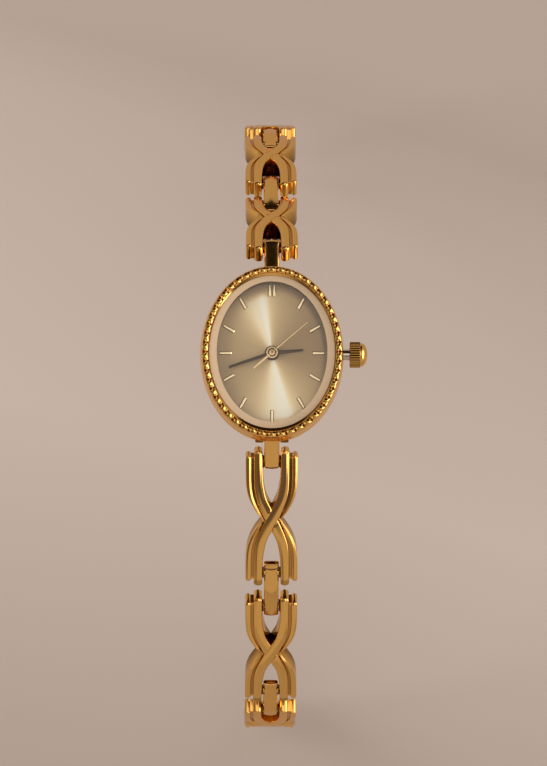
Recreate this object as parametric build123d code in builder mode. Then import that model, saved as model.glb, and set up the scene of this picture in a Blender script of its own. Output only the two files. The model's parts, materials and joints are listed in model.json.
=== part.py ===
# Oval quartz watch for a woman, on an open bracelet of crossed links.
# Origin: centre of the case back's outer face. +Z: out of the dial. +Y: towards 12. +X: towards 3.
# All lengths are millimetres and all angles are degrees.
import os
from math import atan2, cos, degrees, hypot, pi, radians, sin, sqrt

from build123d import *

os.makedirs("parts", exist_ok=True)

# Shared clearances
cut_over = 0.5
running_gap = 0.05
seat_gap = 0.02

# Ovals of the head, as half sizes across (x) and along (y)
case_half_x, case_half_y = 10.1, 12.4
bezel_width_x, bezel_width_y = 1.2, 1.55
flange_width_x, flange_width_y = 1.05, 0.95
band_wall_x, band_wall_y = 1.75, 2.15
back_inset_x, back_inset_y = 1.15, 1.3
movement_inset_x, movement_inset_y = 0.7, 1.35
glass_half_x, glass_half_y = case_half_x - bezel_width_x, case_half_y - bezel_width_y
sight_half_x, sight_half_y = glass_half_x - flange_width_x, glass_half_y - flange_width_y
bore_half_x, bore_half_y = case_half_x - band_wall_x, case_half_y - band_wall_y
back_half_x, back_half_y = case_half_x - back_inset_x, case_half_y - back_inset_y
movement_half_x, movement_half_y = bore_half_x - movement_inset_x, bore_half_y - movement_inset_y

# Heights of the head, up from the case back
back_thickness = 0.7
back_chamfer = 0.3
back_rim_height = 0.6
back_rim_wall = 0.45
gasket_wall = 0.22
gasket_height = 0.18
band_top = 4.3
waist_height = 3.2
foot_height = 1.5
foot_inset = 0.35
base_inset = 1.05
top_inset = 0.12

# Bezel and its beads
bezel_height = 1.8
bezel_wall_height = 1.0
bezel_wall_inset = 0.12
bead_ring_inset = 0.4
bead_ring_width = 0.76
bead_ring_height = 0.45
bead_ring_flank_height = 0.12
bead_ring_flank_share = 0.4
lip_foot_height = 1.15
bead_count = 50
bead_notch, small_notch = 0.4, 0.26
bead_notch_length, small_notch_length = 0.9, 0.6

# Glass, its gasket and the sloping ring under it
rehaut_height = 1.1
rehaut_gap = 0.04
rehaut_flare = 0.15
crystal_gasket_wall = 0.08
crystal_gasket_height = 0.14
crystal_edge_height = 0.18
crystal_thickness = 0.64
crystal_bevel_x, crystal_bevel_y = 1.06, 0.81

# Dial and markers
dial_thickness = 0.4
dial_edge_gap = 0.05
dial_hole_radius = 0.6
marker_height = 0.22
marker_length = 1.75
marker_width = 0.42
marker_inset_x, marker_inset_y = 0.44, 0.07
twelve_pitch = 0.56
twelve_width = 0.46

# Hands: lengths from the centre, widths and levels
hand_thickness = 0.15
hand_hub_margin = 0.3
hour_hand_length, hour_hand_width, hour_hand_tip = 4.4, 0.62, 0.18
minute_hand_length, minute_hand_width, minute_hand_tip = 6.4, 0.42, 0.2
second_hand_length, second_hand_width, second_hand_tail = 6.6, 0.16, 3.4
second_tail_width = 0.34
second_hub_radius = 0.9
second_cap_radius, second_cap_height = 0.38, 0.12
hour_hand_turn, minute_hand_turn, second_hand_turn = 84.3, 251.3, 49.3
hour_hand_level, minute_hand_level, second_hand_level = 4.42, 4.72, 5.02

# Movement: plates, cell and step motor
holder_bottom, holder_top = 1.5, 3.8
plate_bottom, plate_top = 2.6, 3.3
bridge_bottom, bridge_top = 1.45, 1.75
bridge_half_x, bridge_half_y = 5.0, 7.0
bridge_shift_x, bridge_shift_y = 1.3, 0.8
pillar_radius = 0.5
pillar_place_shares = ((-0.157, 0.73), (0.654, 0.27))
pillar_places = [(movement_half_x * x, movement_half_y * y) for x, y in pillar_place_shares]
screw_radius, screw_head_radius, screw_head_height = 0.22, 0.42, 0.16
cell_radius, cell_height = 2.4, 2.1
cell_x, cell_y = -2.5, -5.0
cell_bottom = 1.22
cell_gap = 0.1
clamp_thickness, clamp_width, clamp_length = 0.15, 0.9, 5.4
coil_radius, coil_length = 0.36, 3.0
coil_core_length, coil_core_width, coil_core_thickness = 4.4, 0.6, 0.2
coil_x, coil_y = 2.7, -6.3
stator_bottom, stator_thickness = 1.8, 0.24
stator_leg, stator_head = 0.7, 1.0
stator_bar_low, stator_bar_high = -4.6, -2.95
rotor_hole_radius = 0.62
circuit_thickness = 0.18
circuit_width, circuit_length = 4.2, 2.0
circuit_x, circuit_y = -4.85, 2.4

# Train: arbors, wheel blanks and their levels
arbor_radius = 0.12
pivot_gap = 0.04
wheel_thickness = 0.14
tooth_rise_share, tooth_fall_share = 0.3, 0.95
first_level, second_level, third_level = 1.84, 2.08, 2.34
minute_work_level, hour_work_level = 3.36, 3.56
cannon_bore, cannon_radius = 0.17, 0.3
hour_pipe_bore, hour_pipe_radius = 0.35, 0.5
third_distance, third_turn = 3.2, 110
drive_distance, drive_turn = 3.3, -20
rotor_distance, rotor_turn = 2.5, -60
minute_wheel_distance, minute_wheel_turn = 2.2, 200
rotor_magnet_radius = 0.5

# Crown, its tube and stem, on the 3 o'clock side
crown_height = 2.9
crown_radius, crown_length, crown_dome = 1.82, 1.5, 1.0
crown_standoff = 0.8
crown_recess_radius, crown_recess_depth = 1.0, 1.05
crown_flute_count, crown_flute = 32, 0.2
tube_radius, tube_bore = 0.75, 0.5
tube_reach, tube_root = 1.2, 1.4
stem_radius, stem_inner_end = 0.45, 5.2
crown_gasket_wall, crown_gasket_length = 0.18, 0.3

# Hinge pins of the bracelet
pin_radius = 0.4
pin_recess = 0.12
lug_pin_inset, lug_pin_z = 0.65, 2.3
lug_pin_y = case_half_y - lug_pin_inset
ear_radius, ear_inner, ear_outer = 0.8, 1.17, 2.45
pocket_half_width, pocket_depth, pocket_top = 1.17, 1.05, 3.4
pocket_inner_y = lug_pin_y - pocket_depth

# Crossed link: the plan of one quarter, from its middle
link_half_width = 3.675
link_thickness = 2.1
link_bow_radius = 52.0
link_pin_reach = 8.3
inner_end, outer_end = 10.1, 9.4
waist_half_width = 1.305
outer_bend = 3.82
outer_bend_radius = 2.8
opening_half_width = 1.29
opening_point, opening_bend = 1.7, 4.2
opening_bend_radius = 7.0
inner_rib_edge, outer_rib_edge = 2.495, 2.865
rib_split_start, rib_split_bend, rib_split_out = 1.2, 4.2, 3.9
rib_split_start_x = 1.62
rib_groove_depth = 0.6
over_groove_width = 0.22
strand_corner = 0.28

# Connectors between the crossed links
connector_width = 2.08
connector_thickness = 1.7
connector_pitch = 6.3
connector_end, tongue_end = 1.5, 1.1
end_connector_pitch = 3.85
end_connector_root = 0.9

# Fold-over clasp
tongue_thickness = 1.5
clasp_start, clasp_length, clasp_half_width = 2.6, 12.4, 2.9
clasp_floor, clasp_top = -0.75, 0.05
clasp_lug_width, clasp_hinge_reach, clasp_hinge_z = 0.8, 3.6, 0.5
clasp_lug_radius = 0.6
hook_wall, hook_lip, hook_top = 0.7, 1.4, 0.95
cover_clear = 0.1
cover_wall, cover_skin, cover_skin_z = 0.5, 0.5, 1.72
cover_nose, cover_skin_start, cover_end = 0.62, 0.32, 15.2
cover_wall_floor = -0.5
cover_pin_radius = 0.32
catch_start, catch_end, catch_half_width = 2.3, 7.2, 2.6
catch_arm, catch_bar_radius, catch_bar_reach = 0.65, 0.42, 6.5
catch_thickness = 1.2

# Tilt of each link below the case plane, outward from the case
lower_tilts = (40.0, 28.0, 49.5, 51.0, 70.5, 92.0, 104.0)
upper_tilts = (12.0, 59.0, 51.0, 59.7, 65.6, 84.0, 97.0)
link_pitches = (
    end_connector_pitch,
    2 * link_pin_reach,
    connector_pitch,
    2 * link_pin_reach,
    connector_pitch,
    2 * link_pin_reach,
)

# Heights that follow from the stack
dial_top = band_top - rehaut_gap
dial_bottom = dial_top - dial_thickness
rehaut_top = band_top + rehaut_height
crystal_bottom = rehaut_top + seat_gap


def keep(part, name):
    """Label a finished piece and write it."""
    part.label = name
    export_step(part, f"parts/{name}.step")


def around_oval(half_x, half_y, count):
    """Places at equal steps of length round an oval: x, y and the way out, in degrees."""
    steps = 3600
    angles = [2 * pi * i / steps for i in range(steps + 1)]
    spots = [(half_x * cos(a), half_y * sin(a)) for a in angles]
    reach = [0.0]
    for (x0, y0), (x1, y1) in zip(spots, spots[1:]):
        reach.append(reach[-1] + hypot(x1 - x0, y1 - y0))
    places = []
    i = 0
    for n in range(count):
        while reach[i] < reach[-1] * n / count:
            i += 1
        x, y = spots[i]
        places.append((x, y, degrees(atan2(y / half_y**2, x / half_x**2))))
    return places


def toothed_outline(place, teeth, pitch_radius, phase):
    """Tips and roots of a pointed tooth form round a place; a tip lies at the phase angle."""
    step = 2 * pi / teeth
    module = 2 * pitch_radius / teeth
    tip = pitch_radius + tooth_rise_share * module
    root = pitch_radius - tooth_fall_share * module
    points = []
    for n in range(teeth):
        at = radians(phase) + n * step
        points.append((place[0] + tip * cos(at), place[1] + tip * sin(at)))
        at += step / 2
        points.append((place[0] + root * cos(at), place[1] + root * sin(at)))
    return points


def arbor_with_wheels(place, radius, bottom, top, wheels, bore=0.0):
    """One arbor or pipe with its wheels and pinions: (teeth, pitch radius, level, phase) each."""
    with BuildPart() as arbor:
        with BuildSketch(Plane.XY.offset(bottom)):
            with Locations(place):
                Circle(radius)
        extrude(amount=top - bottom)
        for teeth, pitch_radius, level, phase in wheels:
            with BuildSketch(Plane.XY.offset(level)):
                with BuildLine():
                    Polyline(*toothed_outline(place, teeth, pitch_radius, phase), close=True)
                make_face()
            extrude(amount=wheel_thickness)
        if bore:
            with BuildSketch(Plane.XY.offset(bottom - cut_over)):
                with Locations(place):
                    Circle(bore)
            extrude(amount=top - bottom + 2 * cut_over, mode=Mode.SUBTRACT)
    return arbor


# Case back: plate, chamfer and the rim that snaps into the band
with BuildPart() as case_back:
    with BuildSketch():
        Ellipse(back_half_x, back_half_y)
    extrude(amount=back_thickness)
    chamfer(case_back.faces().sort_by(Axis.Z)[0].edges(), back_chamfer)
    with BuildSketch(Plane.XY.offset(back_thickness)):
        Ellipse(bore_half_x - seat_gap, bore_half_y - seat_gap)
        Ellipse(bore_half_x - back_rim_wall, bore_half_y - back_rim_wall, mode=Mode.SUBTRACT)
    extrude(amount=back_rim_height)
keep(case_back.part, "case_back")

# Gasket between the back and the band
with BuildPart() as back_gasket:
    with BuildSketch(Plane.XY.offset(back_thickness)):
        Ellipse(bore_half_x + gasket_wall, bore_half_y + gasket_wall)
        Ellipse(bore_half_x, bore_half_y, mode=Mode.SUBTRACT)
    extrude(amount=gasket_height)
keep(back_gasket.part, "case_back_gasket")

# Case band: a swelling oval wall, bored through, with ears for the bracelet at 12 and 6
with BuildPart() as case_band:
    for height, inset in (
        (back_thickness, base_inset),
        (foot_height, foot_inset),
        (waist_height, 0.0),
        (band_top, top_inset),
    ):
        with BuildSketch(Plane.XY.offset(height)):
            Ellipse(case_half_x - inset, case_half_y - inset)
    loft(ruled=True)
    for way in (-1, 1):
        for side in (-1, 1):
            ear_plane = Plane.YZ.offset(side * (ear_inner + ear_outer) / 2)
            with BuildSketch(ear_plane):
                with Locations((way * lug_pin_y, lug_pin_z)):
                    Circle(ear_radius)
            extrude(amount=(ear_outer - ear_inner) / 2, both=True)
    with BuildSketch(Plane.XY.offset(back_thickness)):
        Ellipse(bore_half_x, bore_half_y)
    extrude(amount=band_top - back_thickness, mode=Mode.SUBTRACT)
    with BuildSketch(Plane.XY.offset(back_thickness)):
        Ellipse(bore_half_x + gasket_wall, bore_half_y + gasket_wall)
    extrude(amount=gasket_height, mode=Mode.SUBTRACT)
    for way in (-1, 1):
        pocket_reach = lug_pin_y + ear_radius + cut_over
        with BuildSketch(Plane.XY):
            with Locations((0, way * (pocket_inner_y + pocket_reach) / 2)):
                Rectangle(2 * pocket_half_width, pocket_reach - pocket_inner_y)
        extrude(amount=pocket_top, mode=Mode.SUBTRACT)
        with BuildSketch(Plane.YZ.offset(-ear_outer)):
            with Locations((way * lug_pin_y, lug_pin_z)):
                Circle(pin_radius + seat_gap)
        extrude(amount=2 * ear_outer, mode=Mode.SUBTRACT)
    with BuildSketch(Plane.YZ.offset(case_half_x - tube_root)):
        with Locations((0, crown_height)):
            Circle(tube_radius + seat_gap)
    extrude(amount=tube_root + cut_over, mode=Mode.SUBTRACT)
    with BuildSketch(Plane.YZ.offset(bore_half_x - cut_over)):
        with Locations((0, crown_height)):
            Circle(stem_radius + running_gap)
    extrude(amount=case_half_x - bore_half_x, mode=Mode.SUBTRACT)
keep(case_band.part, "case_band")

# Bezel: upright wall, a rounded bead ring on top, and a lip that slopes down to the glass
ring_half_x = case_half_x - bead_ring_inset - bead_ring_width / 2
ring_half_y = case_half_y - bead_ring_inset - bead_ring_width / 2
ring_foot = bezel_height - bead_ring_height
ring_flank = bezel_height - bead_ring_flank_height
flank_reach = bead_ring_flank_share * bead_ring_width / 2
with BuildPart() as bezel:
    for height, half_x, half_y in (
        (0, case_half_x - top_inset, case_half_y - top_inset),
        (
            bezel_wall_height,
            case_half_x - top_inset - bezel_wall_inset,
            case_half_y - top_inset - bezel_wall_inset,
        ),
        (ring_foot, ring_half_x + bead_ring_width / 2, ring_half_y + bead_ring_width / 2),
        (ring_flank, ring_half_x + 2 * flank_reach, ring_half_y + 2 * flank_reach),
        (bezel_height, ring_half_x, ring_half_y),
    ):
        with BuildSketch(Plane.XY.offset(band_top + height)):
            Ellipse(half_x, half_y)
    loft(ruled=True)
    for height, half_x, half_y in (
        (lip_foot_height, glass_half_x, glass_half_y),
        (ring_foot, ring_half_x - bead_ring_width / 2, ring_half_y - bead_ring_width / 2),
        (ring_flank, ring_half_x - 2 * flank_reach, ring_half_y - 2 * flank_reach),
        (bezel_height, ring_half_x, ring_half_y),
    ):
        with BuildSketch(Plane.XY.offset(band_top + height)):
            Ellipse(half_x, half_y)
    loft(ruled=True, mode=Mode.SUBTRACT)
    with BuildSketch(Plane.XY.offset(band_top)):
        Ellipse(glass_half_x, glass_half_y)
    extrude(amount=bezel_height, mode=Mode.SUBTRACT)
    notch_places = [
        Location((x, y, band_top + bezel_height), (0, 0, turn))
        for x, y, turn in around_oval(ring_half_x, ring_half_y, 2 * bead_count)
    ]
    with Locations(*notch_places[::2]):
        Box(bead_notch_length, bead_notch, bead_notch, rotation=(45, 0, 0), mode=Mode.SUBTRACT)
    with Locations(*notch_places[1::2]):
        Box(small_notch_length, small_notch, small_notch, rotation=(45, 0, 0), mode=Mode.SUBTRACT)
keep(bezel.part, "bezel")

# Sloping ring between the dial and the glass
with BuildPart() as rehaut:
    with BuildSketch(Plane.XY.offset(band_top)):
        Ellipse(glass_half_x - rehaut_gap, glass_half_y - rehaut_gap)
    extrude(amount=rehaut_height)
    with BuildSketch(Plane.XY.offset(band_top)):
        Ellipse(sight_half_x, sight_half_y)
    with BuildSketch(Plane.XY.offset(rehaut_top)):
        Ellipse(sight_half_x + rehaut_flare, sight_half_y + rehaut_flare)
    loft(ruled=True, mode=Mode.SUBTRACT)
keep(rehaut.part, "dial_flange")

# Glass with a broad ground bevel, held in its own gasket
with BuildPart() as crystal:
    with BuildSketch(Plane.XY.offset(crystal_bottom)):
        Ellipse(glass_half_x - crystal_gasket_wall, glass_half_y - crystal_gasket_wall)
    extrude(amount=crystal_edge_height)
    for height, inset_x, inset_y in (
        (crystal_edge_height, 0.0, 0.0),
        (crystal_thickness, crystal_bevel_x, crystal_bevel_y),
    ):
        with BuildSketch(Plane.XY.offset(crystal_bottom + height)):
            Ellipse(
                glass_half_x - crystal_gasket_wall - inset_x,
                glass_half_y - crystal_gasket_wall - inset_y,
            )
    loft(ruled=True)
keep(crystal.part, "crystal")

with BuildPart() as crystal_gasket:
    with BuildSketch(Plane.XY.offset(crystal_bottom)):
        Ellipse(glass_half_x, glass_half_y)
        Ellipse(glass_half_x - crystal_gasket_wall, glass_half_y - crystal_gasket_wall, mode=Mode.SUBTRACT)
    extrude(amount=crystal_gasket_height)
keep(crystal_gasket.part, "crystal_gasket")

# Dial, bored for the hand pipes
with BuildPart() as dial:
    with BuildSketch(Plane.XY.offset(dial_bottom)):
        Ellipse(bore_half_x - dial_edge_gap, bore_half_y - dial_edge_gap)
        Circle(dial_hole_radius, mode=Mode.SUBTRACT)
    extrude(amount=dial_thickness)
keep(dial.part, "dial")

# Applied markers: roof-shaped batons, one for each hour and two at 12
marker_half_x, marker_half_y = sight_half_x - marker_inset_x, sight_half_y - marker_inset_y
with BuildPart() as hour_markers:
    for hour in range(12):
        turn = radians(90 - 30 * hour)
        edge = 1 / hypot(cos(turn) / marker_half_x, sin(turn) / marker_half_y)
        middle = edge - marker_length / 2
        offsets = (-twelve_pitch / 2, twelve_pitch / 2) if hour == 0 else (0.0,)
        width = twelve_width if hour == 0 else marker_width
        for offset in offsets:
            x = middle * cos(turn) - offset * sin(turn)
            y = middle * sin(turn) + offset * cos(turn)
            roof = Plane(
                origin=(x, y, dial_top),
                x_dir=(-sin(turn), cos(turn), 0),
                z_dir=(-cos(turn), -sin(turn), 0),
            )
            with BuildSketch(roof):
                with BuildLine():
                    Polyline((-width / 2, 0), (0, -marker_height), (width / 2, 0), close=True)
                make_face()
            extrude(amount=marker_length / 2, both=True)
keep(hour_markers.part, "hour_markers")

# Hour and minute hands: tapered batons with a hub, bored for their pipes
with BuildPart() as hour_hand:
    with BuildSketch(Plane.XY.offset(hour_hand_level).rotated((0, 0, -hour_hand_turn))):
        with BuildLine():
            Polyline(
                (-hour_hand_width / 2, 0),
                (-hour_hand_tip / 2, hour_hand_length),
                (hour_hand_tip / 2, hour_hand_length),
                (hour_hand_width / 2, 0),
                close=True,
            )
        make_face()
        Circle(hour_pipe_radius + hand_hub_margin)
        Circle(hour_pipe_radius, mode=Mode.SUBTRACT)
    extrude(amount=hand_thickness)
keep(hour_hand.part, "hour_hand")

with BuildPart() as minute_hand:
    with BuildSketch(Plane.XY.offset(minute_hand_level).rotated((0, 0, -minute_hand_turn))):
        with BuildLine():
            Polyline(
                (-minute_hand_width / 2, 0),
                (-minute_hand_tip / 2, minute_hand_length),
                (minute_hand_tip / 2, minute_hand_length),
                (minute_hand_width / 2, 0),
                close=True,
            )
        make_face()
        Circle(cannon_radius + hand_hub_margin)
        Circle(cannon_radius, mode=Mode.SUBTRACT)
    extrude(amount=hand_thickness)
keep(minute_hand.part, "minute_hand")

# Second hand: a needle with a broad tail, a hub disc and a cap
with BuildPart() as second_hand:
    with BuildSketch(Plane.XY.offset(second_hand_level).rotated((0, 0, -second_hand_turn))):
        with Locations((0, second_hand_length / 2)):
            Rectangle(second_hand_width, second_hand_length)
        with Locations((0, -second_hand_tail / 2)):
            Rectangle(second_tail_width, second_hand_tail)
        Circle(second_hub_radius)
    extrude(amount=hand_thickness)
    with BuildSketch(Plane.XY.offset(second_hand_level + hand_thickness)):
        Circle(second_cap_radius)
    extrude(amount=second_cap_height)
    with BuildSketch(Plane.XY.offset(second_hand_level)):
        Circle(arbor_radius)
    extrude(amount=hand_thickness, mode=Mode.SUBTRACT)
keep(second_hand.part, "second_hand")

# Ring that centres the movement in the case
with BuildPart() as movement_holder:
    with BuildSketch(Plane.XY.offset(holder_bottom)):
        Ellipse(bore_half_x - dial_edge_gap, bore_half_y - dial_edge_gap)
        Ellipse(movement_half_x + cell_gap, movement_half_y + cell_gap, mode=Mode.SUBTRACT)
    extrude(amount=holder_top - holder_bottom)
    with BuildSketch(Plane.YZ.offset(movement_half_x - cut_over)):
        with Locations((0, crown_height)):
            Circle(stem_radius + cell_gap)
    extrude(amount=bore_half_x - movement_half_x + 2 * cut_over, mode=Mode.SUBTRACT)
keep(movement_holder.part, "movement_holder")

# Where each arbor of the train stands
third_place = (third_distance * cos(radians(third_turn)), third_distance * sin(radians(third_turn)))
drive_place = (drive_distance * cos(radians(drive_turn)), drive_distance * sin(radians(drive_turn)))
rotor_place = (
    drive_place[0] + rotor_distance * cos(radians(rotor_turn)),
    drive_place[1] + rotor_distance * sin(radians(rotor_turn)),
)
minute_wheel_place = (
    minute_wheel_distance * cos(radians(minute_wheel_turn)),
    minute_wheel_distance * sin(radians(minute_wheel_turn)),
)

# Main plate with its pillars, pivot holes, cell seat and the slot for the stem
with BuildPart() as main_plate:
    with BuildSketch(Plane.XY.offset(plate_bottom)):
        Ellipse(movement_half_x, movement_half_y)
        Circle(cannon_radius + pivot_gap, mode=Mode.SUBTRACT)
        with Locations(third_place, drive_place, rotor_place, minute_wheel_place):
            Circle(arbor_radius + pivot_gap, mode=Mode.SUBTRACT)
        with Locations((cell_x, cell_y)):
            Circle(cell_radius + cell_gap, mode=Mode.SUBTRACT)
    extrude(amount=plate_top - plate_bottom)
    with BuildSketch(Plane.XY.offset(bridge_top)):
        with Locations(*pillar_places):
            Circle(pillar_radius)
    extrude(amount=plate_bottom - bridge_top)
    with BuildSketch(Plane.XY.offset(bridge_top)):
        with Locations(*pillar_places):
            Circle(screw_radius)
    extrude(amount=plate_bottom - bridge_top, mode=Mode.SUBTRACT)
    with BuildSketch(Plane.YZ.offset(stem_inner_end - cell_gap)):
        with Locations((0, crown_height)):
            Rectangle(2 * (stem_radius + cell_gap), 2 * (stem_radius + cell_gap))
    extrude(amount=movement_half_x, mode=Mode.SUBTRACT)
keep(main_plate.part, "main_plate")

# Train bridge on the back side, cut clear of the cell
with BuildPart() as train_bridge:
    with BuildSketch(Plane.XY.offset(bridge_bottom)):
        with Locations((bridge_shift_x, bridge_shift_y)):
            Ellipse(bridge_half_x, bridge_half_y)
        with Locations((0, 0), third_place, drive_place, rotor_place):
            Circle(arbor_radius + pivot_gap, mode=Mode.SUBTRACT)
        with Locations(*pillar_places):
            Circle(screw_radius, mode=Mode.SUBTRACT)
        with Locations((cell_x, cell_y)):
            Circle(cell_radius + cell_gap, mode=Mode.SUBTRACT)
    extrude(amount=bridge_top - bridge_bottom)
keep(train_bridge.part, "train_bridge")

with BuildPart() as bridge_screws:
    with BuildSketch(Plane.XY.offset(bridge_bottom - screw_head_height)):
        with Locations(*pillar_places):
            Circle(screw_head_radius)
    extrude(amount=screw_head_height)
    with BuildSketch(Plane.XY.offset(bridge_bottom)):
        with Locations(*pillar_places):
            Circle(screw_radius)
    extrude(amount=plate_bottom - bridge_bottom)
keep(bridge_screws.part, "bridge_screws")

# Power: button cell, its spring strip, the circuit, the coil and the stator
with BuildPart() as button_cell:
    with BuildSketch(Plane.XY.offset(cell_bottom)):
        with Locations((cell_x, cell_y)):
            Circle(cell_radius)
    extrude(amount=cell_height)
    chamfer(button_cell.faces().sort_by(Axis.Z)[0].edges(), cell_gap)
keep(button_cell.part, "button_cell")

with BuildPart() as cell_clamp:
    with BuildSketch(Plane.XY.offset(cell_bottom - clamp_thickness)):
        with Locations((cell_x, cell_y)):
            SlotOverall(clamp_length, clamp_width)
    extrude(amount=clamp_thickness)
keep(cell_clamp.part, "cell_clamp")

with BuildPart() as circuit_board:
    with BuildSketch(Plane.XY.offset(plate_bottom - circuit_thickness)):
        with Locations((circuit_x, circuit_y)):
            RectangleRounded(circuit_width, circuit_length, cell_gap)
    extrude(amount=circuit_thickness)
keep(circuit_board.part, "circuit_board")

stator_top = stator_bottom + stator_thickness
with BuildPart() as coil:
    core_z = stator_top + coil_core_thickness / 2
    with Locations((coil_x, coil_y, core_z)):
        Box(coil_core_length, coil_core_width, coil_core_thickness)
        Cylinder(coil_radius, coil_length, rotation=(0, 90, 0))
keep(coil.part, "coil")

with BuildPart() as stator:
    leg_x = (coil_core_length - stator_leg) / 2
    bar_middle = (stator_bar_low + stator_bar_high) / 2
    leg_low = coil_y - coil_core_width / 2
    with BuildSketch(Plane.XY.offset(stator_bottom)):
        with Locations((coil_x, bar_middle)):
            Rectangle(coil_core_length, stator_bar_high - stator_bar_low)
        with Locations(
            (coil_x - leg_x, (leg_low + stator_bar_low) / 2),
            (coil_x + leg_x, (leg_low + stator_bar_low) / 2),
        ):
            Rectangle(stator_leg, stator_bar_low - leg_low)
        with Locations(rotor_place):
            Circle(stator_head)
            Circle(rotor_hole_radius, mode=Mode.SUBTRACT)
    extrude(amount=stator_thickness)
keep(stator.part, "stator")

# Train: each pair of toothed discs meets with a tip of one in a gap of the other
second_teeth, second_leaves = 40, 6
third_teeth, third_leaves = 45, 6
centre_teeth = 48
drive_teeth, drive_leaves = 36, 8
rotor_leaves = 6
cannon_leaves, minute_teeth, minute_leaves, hour_teeth = 10, 30, 8, 32


def shares(distance, leaves, teeth):
    """Pitch radii of a pinion and a wheel that mesh at a distance."""
    return distance * leaves / (leaves + teeth), distance * teeth / (leaves + teeth)


second_pinion_r, third_wheel_r = shares(third_distance, second_leaves, third_teeth)
third_pinion_r, centre_wheel_r = shares(third_distance, third_leaves, centre_teeth)
drive_pinion_r, second_wheel_r = shares(drive_distance, drive_leaves, second_teeth)
rotor_pinion_r, drive_wheel_r = shares(rotor_distance, rotor_leaves, drive_teeth)
cannon_pinion_r, minute_wheel_r = shares(minute_wheel_distance, cannon_leaves, minute_teeth)
minute_pinion_r, hour_wheel_r = shares(minute_wheel_distance, minute_leaves, hour_teeth)
pivot_bottom = bridge_bottom + pivot_gap
pivot_top = plate_top - pivot_gap

second_wheel = arbor_with_wheels(
    (0, 0),
    arbor_radius,
    pivot_bottom,
    second_hand_level + hand_thickness,
    (
        (second_teeth, second_wheel_r, first_level, drive_turn + 180 / second_teeth),
        (second_leaves, second_pinion_r, second_level, third_turn),
    ),
)
keep(second_wheel.part, "second_wheel")

third_wheel = arbor_with_wheels(
    third_place,
    arbor_radius,
    pivot_bottom,
    pivot_top,
    (
        (third_teeth, third_wheel_r, second_level, third_turn + 180 + 180 / third_teeth),
        (third_leaves, third_pinion_r, third_level, third_turn + 180),
    ),
)
keep(third_wheel.part, "third_wheel")

centre_wheel = arbor_with_wheels(
    (0, 0),
    cannon_radius,
    third_level,
    minute_hand_level + hand_thickness,
    (
        (centre_teeth, centre_wheel_r, third_level, third_turn + 180 / centre_teeth),
        (cannon_leaves, cannon_pinion_r, minute_work_level, minute_wheel_turn),
    ),
    bore=cannon_bore,
)
keep(centre_wheel.part, "centre_wheel")

drive_wheel = arbor_with_wheels(
    drive_place,
    arbor_radius,
    pivot_bottom,
    pivot_top,
    (
        (drive_leaves, drive_pinion_r, first_level, drive_turn + 180),
        (drive_teeth, drive_wheel_r, second_level, rotor_turn + 180 / drive_teeth),
    ),
)
keep(drive_wheel.part, "drive_wheel")

minute_wheel = arbor_with_wheels(
    minute_wheel_place,
    arbor_radius,
    plate_bottom + pivot_gap,
    dial_bottom - pivot_gap,
    (
        (minute_teeth, minute_wheel_r, minute_work_level, minute_wheel_turn + 180 + 180 / minute_teeth),
        (minute_leaves, minute_pinion_r, hour_work_level, minute_wheel_turn + 180),
    ),
)
keep(minute_wheel.part, "minute_wheel")

hour_wheel = arbor_with_wheels(
    (0, 0),
    hour_pipe_radius,
    hour_work_level,
    hour_hand_level + hand_thickness,
    ((hour_teeth, hour_wheel_r, hour_work_level, minute_wheel_turn + 180 / hour_teeth),),
    bore=hour_pipe_bore,
)
keep(hour_wheel.part, "hour_wheel")

with BuildPart() as rotor:
    add(
        arbor_with_wheels(
            rotor_place,
            arbor_radius,
            pivot_bottom,
            pivot_top,
            ((rotor_leaves, rotor_pinion_r, second_level, rotor_turn + 180),),
        ).part
    )
    with BuildSketch(Plane.XY.offset(stator_bottom)):
        with Locations(rotor_place):
            Circle(rotor_magnet_radius)
    extrude(amount=stator_thickness)
keep(rotor.part, "rotor")

# Crown side: tube in the band, fluted and domed crown, its gasket and the stem
crown_start = case_half_x + crown_standoff
with BuildPart() as crown_tube:
    with BuildSketch(Plane.YZ.offset(case_half_x - tube_root)):
        with Locations((0, crown_height)):
            Circle(tube_radius)
            Circle(tube_bore, mode=Mode.SUBTRACT)
    extrude(amount=tube_root + tube_reach)
keep(crown_tube.part, "crown_tube")

crown_axis = Plane(origin=(crown_start, 0, crown_height), x_dir=(1, 0, 0), z_dir=(0, -1, 0))
with BuildPart() as crown:
    with BuildSketch(crown_axis):
        with BuildLine():
            Polyline((crown_length, crown_radius), (0, crown_radius), (0, 0), (crown_length + crown_dome, 0))
            ThreePointArc(
                (crown_length + crown_dome, 0),
                (crown_length + crown_dome * cos(pi / 4), crown_radius * sin(pi / 4)),
                (crown_length, crown_radius),
            )
        make_face()
    revolve(axis=Axis((0, 0, crown_height), (1, 0, 0)))
    with BuildSketch(Plane.YZ.offset(crown_start)):
        with Locations((0, crown_height)):
            Circle(crown_recess_radius)
            Circle(stem_radius, mode=Mode.SUBTRACT)
    extrude(amount=crown_recess_depth, mode=Mode.SUBTRACT)
    with BuildSketch(Plane.YZ.offset(crown_start)):
        with Locations((0, crown_height)):
            Circle(stem_radius)
    extrude(amount=crown_recess_depth, mode=Mode.SUBTRACT)
    with Locations(Location((crown_start + crown_length / 2, 0, crown_height), (0, 90, 0))):
        with PolarLocations(crown_radius, crown_flute_count):
            Box(crown_flute, crown_flute, crown_length, rotation=(0, 0, 45), mode=Mode.SUBTRACT)
keep(crown.part, "crown")

with BuildPart() as crown_gasket:
    gasket_start = crown_start + (tube_reach - crown_standoff - crown_gasket_length) / 2
    with BuildSketch(Plane.YZ.offset(gasket_start)):
        with Locations((0, crown_height)):
            Circle(tube_radius + seat_gap + crown_gasket_wall)
            Circle(tube_radius + seat_gap, mode=Mode.SUBTRACT)
    extrude(amount=crown_gasket_length)
keep(crown_gasket.part, "crown_gasket")

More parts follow.
